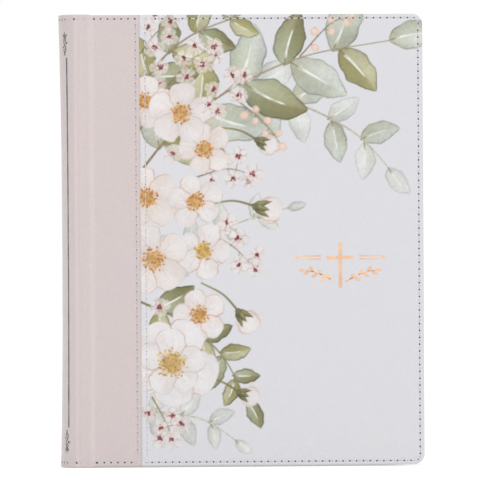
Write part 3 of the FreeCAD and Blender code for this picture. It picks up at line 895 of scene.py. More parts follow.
# ---------------------------------------------------------------- materials
class G:
    """A few shorthands for building a node material."""

    def __init__(self, name, rough=0.6, spec=0.35, color=(0.8, 0.8, 0.8, 1)):
        self.m = bpy.data.materials.new(name)
        self.m.use_nodes = True
        self.t = self.m.node_tree
        self.t.nodes.clear()
        self.out = self.t.nodes.new("ShaderNodeOutputMaterial")
        self.b = self.t.nodes.new("ShaderNodeBsdfPrincipled")
        self.t.links.new(self.b.outputs[0], self.out.inputs[0])
        self.set(self.b, "Roughness", rough)
        self.set(self.b, "Specular IOR Level", spec)
        self.set(self.b, "Base Color", color)
        self.m.diffuse_color = color if not hasattr(color, "node") else (0.8, 0.8, 0.8, 1)

    def set(self, node, key, val):
        s = node.inputs[key]
        if hasattr(val, "is_output"):
            self.t.links.new(val, s)
        else:
            s.default_value = val

    def node(self, ty, ins=None, **props):
        n = self.t.nodes.new(ty)
        for k, v in props.items():
            setattr(n, k, v)
        for k, v in (ins or {}).items():
            self.set(n, k, v)
        return n

    def attr(self, name):
        return self.node("ShaderNodeAttribute", attribute_name=name, attribute_type="GEOMETRY")

    def co(self, name="rco"):
        """Coordinates fixed to the piece, in metres."""
        if name == "object":
            return self.node("ShaderNodeTexCoord").outputs["Object"]
        return self.attr(name).outputs["Vector"]

    def scaled(self, v, s):
        n = self.node("ShaderNodeVectorMath", operation="MULTIPLY")
        self.set(n, 0, v)
        self.set(n, 1, s if hasattr(s, "__len__") else (s, s, s))
        return n.outputs[0]

    def noise(self, v, scale, detail=3.0, rough=0.55, distort=0.0):
        """Noise with scale in features to the metre."""
        n = self.node("ShaderNodeTexNoise", {"Vector": v, "Scale": scale, "Detail": detail, "Roughness": rough, "Distortion": distort})
        return n.outputs["Fac"]

    def voronoi(self, v, scale, feature="SMOOTH_F1", smooth=0.6, rand=1.0):
        n = self.node("ShaderNodeTexVoronoi", feature=feature)
        self.set(n, "Vector", v)
        self.set(n, "Scale", scale)
        self.set(n, "Randomness", rand)
        if feature == "SMOOTH_F1":
            self.set(n, "Smoothness", smooth)
        return n.outputs["Distance"]

    def op(self, kind, a, b=0.0, c=None, clamp=False):
        n = self.node("ShaderNodeMath", operation=kind, use_clamp=clamp)
        self.set(n, 0, a)
        self.set(n, 1, b)
        if c is not None:
            self.set(n, 2, c)
        return n.outputs[0]

    def rng(self, v, a, b, c=0.0, d=1.0, smooth=False):
        n = self.node("ShaderNodeMapRange", interpolation_type="SMOOTHSTEP" if smooth else "LINEAR")
        for k, x in (("Value", v), ("From Min", a), ("From Max", b), ("To Min", c), ("To Max", d)):
            self.set(n, k, x)
        return n.outputs[0]

    def mix(self, f, a, b, kind="MIX"):
        n = self.node("ShaderNodeMix", data_type="RGBA", blend_type=kind)
        self.set(n, 0, f)
        self.set(n, 6, a)
        self.set(n, 7, b)
        return n.outputs[2]

    def sep(self, v):
        n = self.node("ShaderNodeSeparateXYZ")
        self.set(n, 0, v)
        return n.outputs

    def bump(self, height, dist, strength=1.0, normal=None):
        n = self.node("ShaderNodeBump", {"Height": height, "Distance": dist, "Strength": strength})
        if normal is not None:
            self.set(n, "Normal", normal)
        self.last = n.outputs[0]
        self.set(self.b, "Normal", self.last)
        return self.last


M = {}


def leather(key, base, warm, grain=1.0, rough=0.5, sheen=0.0, ink=False, co="rco", coat=0.10, painted_light=False):
    g = G(key, rough=rough, spec=0.32)
    v = g.co(co)
    n_big = g.noise(v, 22, 3, 0.5)
    n_mid = g.noise(v, 160, 4, 0.6)
    n_fine = g.noise(v, 1500, 3, 0.6)
    cell = g.voronoi(g.scaled(v, 1.0), 1150, smooth=0.45)
    cell2 = g.voronoi(v, 2700, smooth=0.3)
    crease = g.noise(v, 420, 5, 0.65, 1.6)
    creases = g.rng(g.op("ABSOLUTE", g.op("SUBTRACT", crease, 0.5)), 0.0, 0.05, 0.0, 1.0, True)
    col = g.mix(g.rng(n_big, 0.35, 0.65), base, warm)
    col = g.mix(g.rng(n_mid, 0.3, 0.7, 0.0, 0.35), col, g.mix(1.0, col, (0.965, 0.96, 0.965, 1), "MULTIPLY"))
    pore = g.rng(cell, 0.05, 0.55, 0.9, 1.02)
    pc = g.node("ShaderNodeCombineColor")
    for k in (0, 1, 2):
        g.set(pc, k, pore)
    col = g.mix(0.5 * grain, col, g.mix(1.0, col, pc.outputs[0], "MULTIPLY"))
    if painted_light:
        # painted highlights: the leather made paler, in streaks, beside the spine over the shoulder and the groove's
        # far wall; painted shade: a little darker over the spine's middle
        u = g.op("SUBTRACT", g.sep(v)[0], U0 / 1000.0)
        # painted highlight: a paler band from the shoulder to the board's edge, streaked up and down
        bend = g.op("MULTIPLY", g.rng(u, 0.0058, 0.0068), g.rng(u, 0.0157, 0.0166, 1.0, 0.0))
        streak = g.noise(g.scaled(v, (1.0, 1.0, 0.015)), 1400, 3, 0.55)
        # painted highlights: a brighter line along the shoulder and one along the groove's far wall
        first = g.rng(g.op("ABSOLUTE", g.op("SUBTRACT", u, 0.0074)), 0.0, 0.0012, 0.034, 0.0, True)
        last = g.rng(g.op("ABSOLUTE", g.op("SUBTRACT", u, 0.0147)), 0.0, 0.0019, 0.046, 0.0, True)
        lift = g.op("MULTIPLY", bend, g.rng(streak, 0.3, 0.7, -0.005, 0.041))
        lift = g.op("ADD", lift, g.op("ADD", first, last))
        # painted shade: 8% darker within 2 mm of the spine's middle line, fading out by 4 mm
        lift = g.op("ADD", lift, g.rng(u, 0.0020, 0.0040, 0.92, 1.0))
        painted_light_col = g.node("ShaderNodeCombineColor")
        for k in (0, 1, 2):
            g.set(painted_light_col, k, lift)
        col = g.mix(1.0, col, painted_light_col.outputs[0], "MULTIPLY")
    if ink:
        a = g.attr("ink")
        speck = g.rng(n_fine, 0.3, 0.7, 0.975, 1.02)
        sc = g.node("ShaderNodeCombineColor")
        for k in (0, 1, 2):
            g.set(sc, k, speck)
        inked = g.mix(1.0, a.outputs["Color"], sc.outputs[0], "MULTIPLY")
        col = g.mix(1.0, col, inked, "MULTIPLY")
    g.set(g.b, "Base Color", col)
    g.set(g.b, "Roughness", g.op("ADD", g.rng(n_mid, 0.25, 0.75, rough - 0.07, rough + 0.07), g.rng(cell, 0.0, 0.6, 0.04, -0.03)))
    g.set(g.b, "Coat Weight", coat)
    g.set(g.b, "Coat Roughness", 0.24)
    if sheen:
        g.set(g.b, "Sheen Weight", sheen)
        g.set(g.b, "Sheen Roughness", 0.5)
    h = g.op("MULTIPLY", g.rng(cell, 0.0, 0.6), 1.0)
    h = g.op("ADD", h, g.op("MULTIPLY", g.rng(cell2, 0.0, 0.6), 0.35))
    h = g.op("ADD", h, g.op("MULTIPLY", creases, 0.35))
    n1 = g.bump(h, 0.000045 * grain, 0.8)
    g.bump(g.op("ADD", g.op("MULTIPLY", n_mid, 0.7), n_big), 0.00022 * grain, 0.55, n1)
    g.m.diffuse_color = base
    return g.m


PINK = (0.512, 0.452, 0.448, 1)
WHITE = (0.560, 0.560, 0.588, 1)
M["pink"] = leather("pink_leather_m", PINK, (0.519, 0.450, 0.443, 1), 1.0, 0.46, coat=0.30, painted_light=True)
M["panel"] = leather("printed_panel_m", WHITE, (0.565, 0.561, 0.583, 1), 0.55, 0.50, ink=True)
M["white"] = leather("white_panel_m", WHITE, (0.565, 0.561, 0.583, 1), 0.55, 0.50, ink=True)


def page_material(key, printed):
    g = G(key, rough=0.82, spec=0.18)
    v = g.co("object")
    s = g.sep(v)
    base, warm = (0.640, 0.612, 0.548, 1), (0.668, 0.645, 0.590, 1)
    # the edges of the leaves: fine lines that run with the paper, wandering a little
    drift = g.noise(g.scaled(v, (1.0, 1.0, 1.0)), 16, 2, 0.5)
    y2 = g.op("ADD", s[1], g.op("MULTIPLY", drift, 0.0005))
    comb = g.node("ShaderNodeCombineXYZ")
    g.set(comb, 0, g.op("MULTIPLY", s[0], 0.012))
    g.set(comb, 1, y2)
    g.set(comb, 2, g.op("MULTIPLY", s[2], 0.012))
    lines = g.noise(comb.outputs[0], 5200, 2, 0.6)
    groups = g.noise(comb.outputs[0], 900, 2, 0.5)
    soft = g.noise(v, 35, 3, 0.5)
    geo = g.node("ShaderNodeTexCoord").outputs["Normal"]
    ny = g.op("ABSOLUTE", g.sep(geo)[1])
    edge = g.rng(ny, 0.5, 0.8, 1.0, 0.0)
    col = g.mix(g.rng(soft, 0.3, 0.7), base, warm)
    dark = g.mix(g.rng(lines, 0.34, 0.62, 0.55, 0.0), col, g.mix(1.0, col, (0.74, 0.71, 0.66, 1), "MULTIPLY"))
    dark = g.mix(g.rng(groups, 0.35, 0.7, 0.35, 0.0), dark, g.mix(1.0, dark, (0.88, 0.86, 0.82, 1), "MULTIPLY"))
    col2 = g.mix(edge, col, dark)
    fibre = g.noise(v, 1400, 3, 0.6)
    if printed:
        # two columns of grey bars that stand for lines of type
        pitch = 0.0039
        row = g.op("FRACT", g.op("DIVIDE", s[2], pitch))
        bar = g.op("MULTIPLY", g.rng(row, 0.20, 0.30, 0, 1, True), g.rng(row, 0.62, 0.72, 1, 0, True))
        line_no = g.op("FLOOR", g.op("DIVIDE", s[2], pitch))
        wc = g.node("ShaderNodeCombineXYZ")
        g.set(wc, 0, g.op("MULTIPLY", s[0], 275))
        g.set(wc, 1, g.op("MULTIPLY", line_no, 3.7))
        words = g.rng(g.noise(wc.outputs[0], 1.0, 0.0, 0.5), 0.40, 0.43, 0, 1)
        xx = g.op("SUBTRACT", s[0], U0 / 1000.0)

        def band(a, b, q):
            return g.op("MULTIPLY", g.rng(q, a - 0.0002, a + 0.0002), g.rng(q, b - 0.0002, b + 0.0002, 1, 0))
        cols = g.op("ADD", band(0.022, 0.083, xx), band(0.089, 0.150, xx), clamp=True)
        ver = band(0.020, 0.1935, s[2])
        m = g.op("MULTIPLY", g.op("MULTIPLY", bar, words), g.op("MULTIPLY", cols, ver))
        m = g.op("MULTIPLY", m, g.rng(ny, 0.8, 0.95))
        m = g.op("MULTIPLY", m, g.rng(fibre, 0.2, 0.8, 0.55, 0.85))
        head = g.op("MULTIPLY", band(0.1985, 0.1995, s[2]), band(0.022, 0.150, xx))
        m = g.op("ADD", m, g.op("MULTIPLY", head, g.op("MULTIPLY", g.rng(ny, 0.8, 0.95), 0.5)), clamp=True)
        col2 = g.mix(m, col2, (0.20, 0.20, 0.22, 1))
    g.set(g.b, "Base Color", col2)
    g.set(g.b, "Roughness", g.rng(fibre, 0.2, 0.8, 0.76, 0.9))
    n1 = g.bump(g.op("MULTIPLY", g.op("ADD", lines, g.op("MULTIPLY", groups, 1.5)), edge), 0.00022, 0.9)
    g.bump(fibre, 0.00003, 0.5, n1)
    g.m.diffuse_color = base
    return g.m


M["page"] = page_material("page_paper_m", False)
M["page_printed"] = page_material("page_paper_printed_m", True)


def simple(key, base, dark, scale, rough, bump, spec=0.2, weave=None, co="object", flecks=None, sheen=0.0):
    g = G(key, rough=rough, spec=spec)
    v = g.co(co)
    n1 = g.noise(v, scale, 4, 0.6)
    n2 = g.noise(v, scale * 7, 3, 0.6)
    col = g.mix(g.rng(n1, 0.3, 0.7), base, dark)
    h = g.op("ADD", n1, g.op("MULTIPLY", n2, 0.5))
    if flecks:
        f = g.rng(g.noise(g.scaled(v, (1, 1, 2.5)), flecks, 1, 0.4), 0.62, 0.68)
        col = g.mix(g.op("MULTIPLY", f, 0.6), col, g.mix(1.0, col, (0.62, 0.60, 0.58, 1), "MULTIPLY"))
    if weave:
        s = g.sep(v)
        k = 2 * math.pi * weave
        wx = g.op("SINE", g.op("MULTIPLY", g.op("ADD", s[0], s[1]), k))
        wz = g.op("SINE", g.op("MULTIPLY", s[2], k))
        w = g.op("MAXIMUM", wx, wz)
        col = g.mix(g.rng(w, -1, 0.6, 0.75, 0), col, g.mix(1.0, col, (0.70, 0.69, 0.67, 1), "MULTIPLY"))
        h = g.op("ADD", g.op("MULTIPLY", h, 0.3), w)
    g.set(g.b, "Base Color", col)
    g.set(g.b, "Roughness", g.rng(n2, 0.2, 0.8, rough - 0.06, rough + 0.06))
    if sheen:
        g.set(g.b, "Sheen Weight", sheen)
    g.bump(h, bump, 0.7)
    g.m.diffuse_color = base
    return g.m


M["endpaper"] = simple("endpaper_m", (0.655, 0.640, 0.610, 1), (0.625, 0.606, 0.572, 1), 60, 0.72, 0.00003, flecks=900)
M["endpaper_r"] = simple("endpaper_sheet_m", (0.655, 0.640, 0.610, 1), (0.625, 0.606, 0.572, 1), 60, 0.72, 0.00003, flecks=900, co="rco")
M["greyboard"] = simple("greyboard_m", (0.36, 0.35, 0.33, 1), (0.29, 0.28, 0.265, 1), 260, 0.85, 0.00008, flecks=1300)
M["card"] = simple("filler_card_m", (0.60, 0.58, 0.53, 1), (0.55, 0.53, 0.48, 1), 200, 0.85, 0.00005, flecks=1100)
M["mull"] = simple("mull_m", (0.70, 0.67, 0.60, 1), (0.62, 0.59, 0.52, 1), 300, 0.9, 0.00012, weave=1150, sheen=0.2)
M["tape"] = simple("tape_m", (0.66, 0.62, 0.53, 1), (0.60, 0.56, 0.47, 1), 300, 0.85, 0.00010, weave=1700, sheen=0.2)
M["sewing"] = simple("sewing_thread_m", (0.74, 0.71, 0.64, 1), (0.66, 0.63, 0.56, 1), 1500, 0.75, 0.00006, sheen=0.2)
M["liner"] = simple("spine_liner_m", (0.50, 0.47, 0.42, 1), (0.44, 0.41, 0.36, 1), 220, 0.88, 0.00006, flecks=1200, co="rco")


def thread_material(key, base, dark):
    g = G(key, rough=0.55, spec=0.3)
    v = g.co("rco")
    s = g.sep(v)
    twist = g.op("SINE", g.op("ADD", g.op("MULTIPLY", g.op("ADD", s[0], s[2]), 2 * math.pi / 0.00055), g.op("MULTIPLY", s[1], 9000)))
    fine = g.noise(v, 5200, 2, 0.6)
    tone = g.noise(v, 90, 2, 0.5)
    col = g.mix(g.rng(tone, 0.3, 0.7), base, dark)
    col = g.mix(g.rng(twist, -1, 1, 0.30, 0.0), col, g.mix(1.0, col, (0.66, 0.65, 0.66, 1), "MULTIPLY"))
    g.set(g.b, "Base Color", col)
    g.set(g.b, "Sheen Weight", 0.25)
    g.bump(g.op("ADD", twist, fine), 0.00004, 0.7)
    g.m.diffuse_color = base
    return g.m


M["thread"] = thread_material("edge_thread_m", (0.60, 0.575, 0.59, 1), (0.54, 0.515, 0.53, 1))
M["thread_pink"] = thread_material("seam_thread_pink_m", (0.545, 0.480, 0.474, 1), (0.510, 0.448, 0.442, 1))
M["thread_grey"] = thread_material("seam_thread_grey_m", (0.60, 0.60, 0.63, 1), (0.54, 0.54, 0.57, 1))


# the dark colour of the needle holes: painted shade for their hollows
def hole_shade_material(key, base):
    g = G(key, rough=0.9, spec=0.05)
    v = g.co("rco")
    n = g.noise(v, 4200, 2, 0.6)
    g.set(g.b, "Base Color", g.mix(g.rng(n, 0.3, 0.7), base, tuple(q * 0.6 for q in base[:3]) + (1,)))
    g.bump(n, 0.00005, 0.6)
    g.m.diffuse_color = base
    return g.m


M["hole"] = hole_shade_material("stitch_hole_shade_m", (0.085, 0.080, 0.085, 1))
M["hole_soft"] = hole_shade_material("seam_hole_shade_m", (0.24, 0.21, 0.21, 1))
M["hole_pale"] = hole_shade_material("seam_hole_pale_shade_m", (0.33, 0.33, 0.35, 1))


def foil_material(key, base, tint, rough, metal):
    g = G(key, rough=rough, spec=0.5)
    v = g.co("rco")
    n = g.noise(v, 900, 4, 0.6)
    big = g.noise(v, 120, 2, 0.5)
    worn = g.rng(g.noise(v, 2600, 2, 0.5), 0.62, 0.72)
    col = g.mix(g.rng(big, 0.35, 0.65), base, tint)
    g.set(g.b, "Base Color", g.mix(g.op("MULTIPLY", worn, 0.35), col, (0.70, 0.62, 0.58, 1)))
    g.set(g.b, "Metallic", g.op("MULTIPLY", g.op("SUBTRACT", 1.0, g.op("MULTIPLY", worn, 0.5)), metal))
    g.set(g.b, "Roughness", g.rng(n, 0.3, 0.7, rough - 0.08, rough + 0.12))
    g.bump(g.op("ADD", n, big), 0.00005, 0.6)
    g.m.diffuse_color = base
    return g.m


M["rose"] = foil_material("rose_gold_foil_m", (0.80, 0.525, 0.345, 1), (0.66, 0.405, 0.265, 1), 0.34, 0.85)
M["silver"] = foil_material("silver_foil_m", (0.20, 0.185, 0.18, 1), (0.060, 0.056, 0.056, 1), 0.30, 0.85)


def band_material():
    """Silk worked over a cord, in turns of two colours."""
    g = G("headband_m", rough=0.5, spec=0.35)
    s = g.sep(g.co("wco"))
    q = g.op("FRACT", g.op("DIVIDE", s[0], 0.0024))
    st = g.op("MULTIPLY", g.rng(q, 0.02, 0.08, 0, 1, True), g.rng(q, 0.48, 0.54, 1, 0, True))
    n = g.noise(g.co("rco"), 4000, 2, 0.6)
    strands = g.op("SINE", g.op("MULTIPLY", s[0], 2 * math.pi / 0.00030))
    col = g.mix(st, (0.74, 0.72, 0.70, 1), (0.60, 0.44, 0.44, 1))
    col = g.mix(g.rng(strands, -1, 1, 0.35, 0.0), col, g.mix(1.0, col, (0.68, 0.66, 0.66, 1), "MULTIPLY"))
    g.set(g.b, "Base Color", col)
    g.set(g.b, "Sheen Weight", 0.3)
    g.bump(g.op("ADD", g.op("MULTIPLY", strands, 0.5), n), 0.00005, 0.7)
    g.m.diffuse_color = (0.7, 0.65, 0.64, 1)
    return g.m


M["band"] = band_material()

CAD_LOOK = {
    "section_": "page", "centre_leaf": "page_printed", "flyleaf": "endpaper", "board_infill": "card", "_board": "greyboard",
    "_tapes": "tape", "kettle": "sewing", "mull": "mull", "pastedown": "endpaper", "liner": "card", "headband": "tape", "tailband": "tape",
    "foil_mark": "rose", "spine_foil": "silver", "stitch": "thread", "panel": "white", "leather": "pink",
}
for node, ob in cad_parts.items():
    look = None
    for key, val in CAD_LOOK.items():
        if key in node:
            look = val
            break
    if node in ("section_06", "section_07"):
        look = "page_printed"
    if node in ("front_board", "back_board"):
        look = "greyboard"
    m = M[look or "page"]
    if look in ("pink", "white", "thread", "rose", "silver"):
        continue                         # these are all replaced below
    if len(ob.material_slots) == 0:
        ob.data.materials.append(m)
    for sl in ob.material_slots:
        sl.material = m
# ---------------------------------------------------------------- the pieces
art = paint()
_PL = np.where(PAPER <= 0.04045, PAPER / 12.92, ((PAPER + 0.055) / 1.055) ** 2.4)


def to_ratio(c):
    """Colours of the print as a share of the bare panel's colour, in linear light."""
    c = np.clip(np.asarray(c, float), 0, 1)
    lin = np.where(c <= 0.04045, c / 12.92, ((c + 0.055) / 1.055) ** 2.4)
    return np.clip(lin / _PL, 0, 1.25)


def print_at(u, z):
    x, y = 60.0 + np.asarray(u) * DU, 465.5 - np.asarray(z) * DU
    fx = np.clip((x - AX0) / AQ, 0, ANX - 1.001)
    fy = np.clip((y - AY0) / AQ, 0, ANY - 1.001)
    i, j = fx.astype(int), fy.astype(int)
    a, b = (fx - i)[..., None], (fy - j)[..., None]
    c = art.c
    return (c[j, i] * (1 - a) + c[j, i + 1] * a) * (1 - b) + (c[j + 1, i] * (1 - a) + c[j + 1, i + 1] * a) * b


def bare_at(u, z):
    return np.ones(np.shape(u) + (3,)) * PAPER


def panel_piece(name, sgn, body, node, fn, mat, root):
    ob = panel(name, sgn, body, node, fn, mat, root)
    at = ob.data.attributes["ink"]
    n = len(at.data)
    buf = np.zeros(n * 4, np.float32)
    at.data.foreach_get("color", buf)
    buf = buf.reshape(-1, 4)
    buf[:, :3] = to_ratio(buf[:, :3])
    at.data.foreach_set("color", buf.ravel())
    return ob


p = panel_piece("front_panel_print", -1, "front_cover", "front_printed_panel", print_at, M["panel"], 8)
p = panel_piece("back_panel_cover", 1, "back_cover", "back_panel", bare_at, M["white"], 2)

side_wrap("front", -1, ("front_quarter_leather", "front_joint_leather"))
side_wrap("back", 1, ("back_quarter_leather", "back_joint_leather"))
spine_wrap("spine_leather_wrap", 0.0, 0.82, 0.0, H, 0.80 * TH_S, M["pink"], ("rear_spine_leather", "front_spine_leather"))
spine_wrap("spine_liner_card", 0.86, 0.45, 12.2, 203.8, 0.78 * TH_S, M["liner"], ("rear_spine_liner", "front_spine_liner"))


def sheet_mesh(name, prof, thick, z0, z1, mat, zn=26):
    """A thin closed sheet along a profile."""
    prof = np.array(prof, float)
    t = np.gradient(prof, axis=0)
    t /= np.linalg.norm(t, axis=1)[:, None]
    n = np.stack([-t[:, 1], t[:, 0]], 1) * thick / 2
    verts, faces = [], []
    zs = np.linspace(z0, z1, zn)
    for s in (1, -1):
        for z in zs:
            for q in range(len(prof)):
                verts.append(mm(prof[q][0] + s * n[q][0], prof[q][1] + s * n[q][1], z))
    m = len(prof)
    o = zn * m
    for j in range(zn - 1):
        for i in range(m - 1):
            a = j * m + i
            faces.append((a, a + 1, a + m + 1, a + m))
            faces.append((o + a, o + a + m, o + a + m + 1, o + a + 1))
        for i in (0, m - 1):
            a = j * m + i
            faces.append((a, a + m, o + a + m, o + a))
    for j in (0, zn - 1):
        for i in range(m - 1):
            a = j * m + i
            faces.append((a, a + 1, o + a + 1, o + a))
    ob = make_mesh(name, verts, faces, [mat])
    fix_normals(ob)
    return ob


def pastedown(side, sgn):
    lead = bspline([(7.9, 17.34), (8.6, 17.26), (9.5, 16.86), (10.6, 16.42), (11.8, 16.36), (12.8, 16.24), (13.9, 15.86), (15.0, 15.70), (16.5, 15.70)], 30)
    rest = [(u, 15.70) for u in np.arange(20, 170.4, 7.5)] + [(170.3, 15.70)]
    prof = np.vstack([lead, rest])
    prof[:, 1] *= sgn
    ob = sheet_mesh(side + "_pastedown_sheet", prof, 0.16, 3.2, 212.8, M["endpaper_r"])
    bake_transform(ob)
    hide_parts(side + "_pastedown")


pastedown("front", -1)
pastedown("back", 1)


def band(name, sgn, body, node, z, down):
    """Half of a headband: a bead wound with silk, on a cloth strip."""
    rb, rad = R - 3.05 - 0.80, 0.80
    verts, wco, faces = [], [], []
    a1 = TH_S * 0.90
    n, m = 200, 12
    for i in range(n):
        a = 0.002 + (a1 - 0.002) * i / (n - 1)
        s = a * rb
        w = rad * (0.93 + 0.07 * abs(math.sin(math.pi * s / 1.2)))
        for k in range(m):
            t = 2 * math.pi * k / m
            r = rb + w * math.cos(t)
            verts.append(mm(R - r * math.cos(a), sgn * r * math.sin(a), z + w * math.sin(t)))
            wco.append((s / 1000, k / m, 0))
    for i in range(n - 1):
        for k in range(m):
            a, b = i * m + k, i * m + (k + 1) % m
            faces.append((a, b, b + m, a + m))
    faces.append(tuple(range(m)))
    faces.append(tuple((n - 1) * m + k for k in range(m)))
    # the cloth strip below the bead
    o = len(verts)
    q = 30
    for i in range(q):
        a = 0.002 + (a1 - 0.002) * i / (q - 1)
        for d, zz in ((0.1, 0.0), (0.5, 0.0), (0.5, -6.0), (0.1, -6.0)):
            r = rb + 0.3 - d
            verts.append(mm(R - r * math.cos(a), sgn * r * math.sin(a), z + down * zz))
            wco.append((a * rb / 1000, 0, 0))
    for i in range(q - 1):
        for k in range(4):
            a, b = o + i * 4 + k, o + i * 4 + (k + 1) % 4
            faces.append((a, b, b + 4, a + 4))
    faces.append((o, o + 1, o + 2, o + 3))
    faces.append(tuple(o + (q - 1) * 4 + k for k in range(4)))
    ob = make_mesh(name, verts, faces, [M["band"]], attrs={"wco": ("FLOAT_VECTOR", wco)})
    fix_normals(ob)
    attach(ob, body)
    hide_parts(node)


for side, sgn, body in (("front", -1, "front_block"), ("rear", 1, "rear_block")):
    band(side + "_headband_weave", sgn, body, side + "_headband", 213.65, 1)
    band(side + "_tailband_weave", sgn, body, side + "_tailband", 2.35, -1)

# ---------------------------------------------------------------- stitching
for side, sgn in (("front", -1), ("back", 1)):
    cov = side + "_cover"
    e = thread_mesh(side + "_edge_stitches", cover_frames(edge_line(), sgn, 0.02), 2.34, [M["thread"], M["hole"]], 0.26, 0.19)
    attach(e, cov)
    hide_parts(side + "_edge_stitching")
    e = thread_mesh(side + "_seam_stitches_pink", cover_frames(row_line(ROW_LEATHER, PITCH_LEATHER), sgn, 0.02), 2.7, [M["thread_pink"], M["hole_soft"]], 0.26, 0.15, hole_r=0.36, hole_w=0.75)
    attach(e, cov)
    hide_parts(side + "_seam_stitches_leather_side")
    e = thread_mesh(side + "_seam_stitches_white", cover_frames(row_line(ROW_PANEL, PITCH_PANEL), sgn, 0.02), 2.5, [M["thread_grey"], M["hole_pale"]], 0.24, 0.13, hole_r=0.30, hole_w=0.8)
    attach(e, cov)
    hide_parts(side + "_seam_stitches_panel_side")


def end_frames_side(sgn):
    """Stitches over the shoulder and through the groove, near head and tail."""
    prof = JOINT.copy()
    prof[:, 1] *= sgn
    inn = inward_of(prof, sgn)
    s = np.concatenate([[0], np.cumsum(np.linalg.norm(np.diff(prof, axis=0), axis=1))])
    end = np.interp(BOARD_U + 0.9, prof[:, 0], s)
    res = []
    q = end - STITCH_PITCH / 2
    while q > 0.7:
        p = (np.interp(q, s, prof[:, 0]), np.interp(q, s, prof[:, 1]))
        t = (np.interp(q + 0.1, s, prof[:, 0]) - p[0], np.interp(q + 0.1, s, prof[:, 1]) - p[1])
        n = (-np.interp(q, s, inn[:, 0]), -np.interp(q, s, inn[:, 1]))
        for z in (EDGE_IN, H - EDGE_IN):
            u = p[0] + (bow(z) * spine_share(math.asin(min(1.0, abs(p[1]) / R))) if p[0] < 6.3 else 0.0)
            res.append((mm(u - n[0] * 0.11, p[1] - n[1] * 0.11, z), (t[0], t[1], 0), (n[0], n[1], 0)))
        q -= STITCH_PITCH
    return res, q


for side, sgn, blk, cov in (("front", -1, "front_block", "front_cover"), ("back", 1, "rear_block", "back_cover")):
    fr, left = end_frames_side(sgn)
    e = thread_mesh(side + "_joint_stitches", fr, 2.34, [M["thread"], M["hole"]], 0.26, 0.19)
    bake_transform(e)
fr = []
arc_end = 0.80 * TH_S * R
n_st = int(2 * arc_end / STITCH_PITCH)
for i in range(n_st):
    a = (-arc_end + (i + 0.5) * 2 * arc_end / n_st) / R
    for z in (EDGE_IN, H - EDGE_IN):
        u, y, _ = spine_point(a, z, 0.11)
        fr.append((mm(u, y, z), (math.sin(a), math.cos(a), 0), (-math.cos(a), math.sin(a), 0)))
e = thread_mesh("spine_end_stitches", fr, 2.34, [M["thread"], M["hole"]], 0.26, 0.19)
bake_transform(e)
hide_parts("rear_spine_end_stitching", "front_spine_end_stitching")


# ---------------------------------------------------------------- foil
def ribbons(name, lines, place, mat, lift=0.035, under=0.12):
    """Thin raised bands of foil. lines: lists of (x, z, half width) in millimetres; place(x, z, d): point d millimetres above the leather."""
    verts, faces = [], []
    for ln in lines:
        ln = np.array(ln, float)
        t = np.gradient(ln[:, :2], axis=0)
        t /= np.maximum(np.linalg.norm(t, axis=1), 1e-9)[:, None]
        nn = np.stack([-t[:, 1], t[:, 0]], 1)
        b = len(verts)
        for q in range(len(ln)):
            x, z, w = ln[q]
            w = max(w, 0.02)
            for s, d in ((1, lift), (-1, lift), (-1, -under), (1, -under)):
                verts.append(place(x + nn[q][0] * w * s, z + nn[q][1] * w * s, d))
        for q in range(len(ln) - 1):
            for k in range(4):
                a, c = b + q * 4 + k, b + q * 4 + (k + 1) % 4
                faces.append((a, c, c + 4, a + 4))
        faces.append((b, b + 1, b + 2, b + 3))
        e2 = b + (len(ln) - 1) * 4
        faces.append((e2 + 3, e2 + 2, e2 + 1, e2))
    ob = make_mesh(name, verts, faces, [mat], smooth=False)
    fix_normals(ob)
    return ob


def line(x0, z0, x1, z1, w, n=10):
    return [(x0 + (x1 - x0) * k / n, z0 + (z1 - z0) * k / n, w) for k in range(n + 1)]


def leaf(x, z, ang, length, w, n=8):
    """A slim leaf shape from a point."""
    res = []
    for k in range(n + 1):
        t = k / n
        res.append((x + math.cos(ang) * length * t, z + math.sin(ang) * length * t, w * math.sin(math.pi * min(0.999, t ** 0.8)) + 0.02))
    return res


def curl(x, z, ang, length, turn, w0, w1, n=22):
    """A line that starts in one direction and winds up."""
    res = []
    px, pz, a = x, z, ang
    for k in range(n + 1):
        t = k / n
        res.append((px, pz, w0 + (w1 - w0) * t))
        a += turn * (0.35 + 1.5 * t) / n
        step = length * (1.0 - 0.55 * t) / n
        px += math.cos(a) * step
        pz += math.sin(a) * step
    return res


def ring(x, z, r, w, n=20):
    return [(x + r * math.cos(2 * math.pi * k / n), z + r * math.sin(2 * math.pi * k / n), w) for k in range(n + 1)]


CX, CZ = 133.3, 95.7
mark = [line(CX, CZ - 10.7, CX, CZ + 10.7, 0.84, 14), line(CX - 6.4, CZ + 3.7, CX - 0.86, CZ + 3.7, 0.80, 6), line(CX + 0.86, CZ + 3.7, CX + 6.4, CZ + 3.7, 0.80, 6)]
for sx in (-1, 1):
    # a sprig each side, and a rule that ends in a dot
    stem = [(CX + sx * (2.4 + 14.6 * k / 14), CZ - 8.0 + 5.6 * math.sin(1.45 * k / 14), 0.27) for k in range(15)]
    mark.append(stem)
    for k in range(2, 14, 2):
        x, z, _ = stem[k]
        up = 1 if (k // 2) % 2 else -1
        a = 0.20 + up * 0.75
        mark.append(leaf(x, z, a if sx > 0 else math.pi - a, 3.7, 0.80))
    mark.append(leaf(stem[-1][0], stem[-1][1], 0.1 if sx > 0 else math.pi - 0.1, 3.4, 0.72))
    for dz in (0.75, -0.75):
        mark.append(line(CX + sx * 9.2, CZ + 3.7 + dz, CX + sx * 18.6, CZ + 3.7 + dz, 0.30, 10))
    mark.append(leaf(CX + sx * 19.3, CZ + 3.7, 0.0 if sx > 0 else math.pi, 2.6, 0.75))


def on_front(x, z, d):
    return mm(x, -(FACE - float(sink(x, z)) + d), z)


m_ob = ribbons("front_foil_cross", mark, on_front, M["rose"])
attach(m_ob, "front_cover")
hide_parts("front_foil_mark")

RULE = (TH_S - 6.1 / R) * R              # distance of the spine's rule from its middle, along the leather


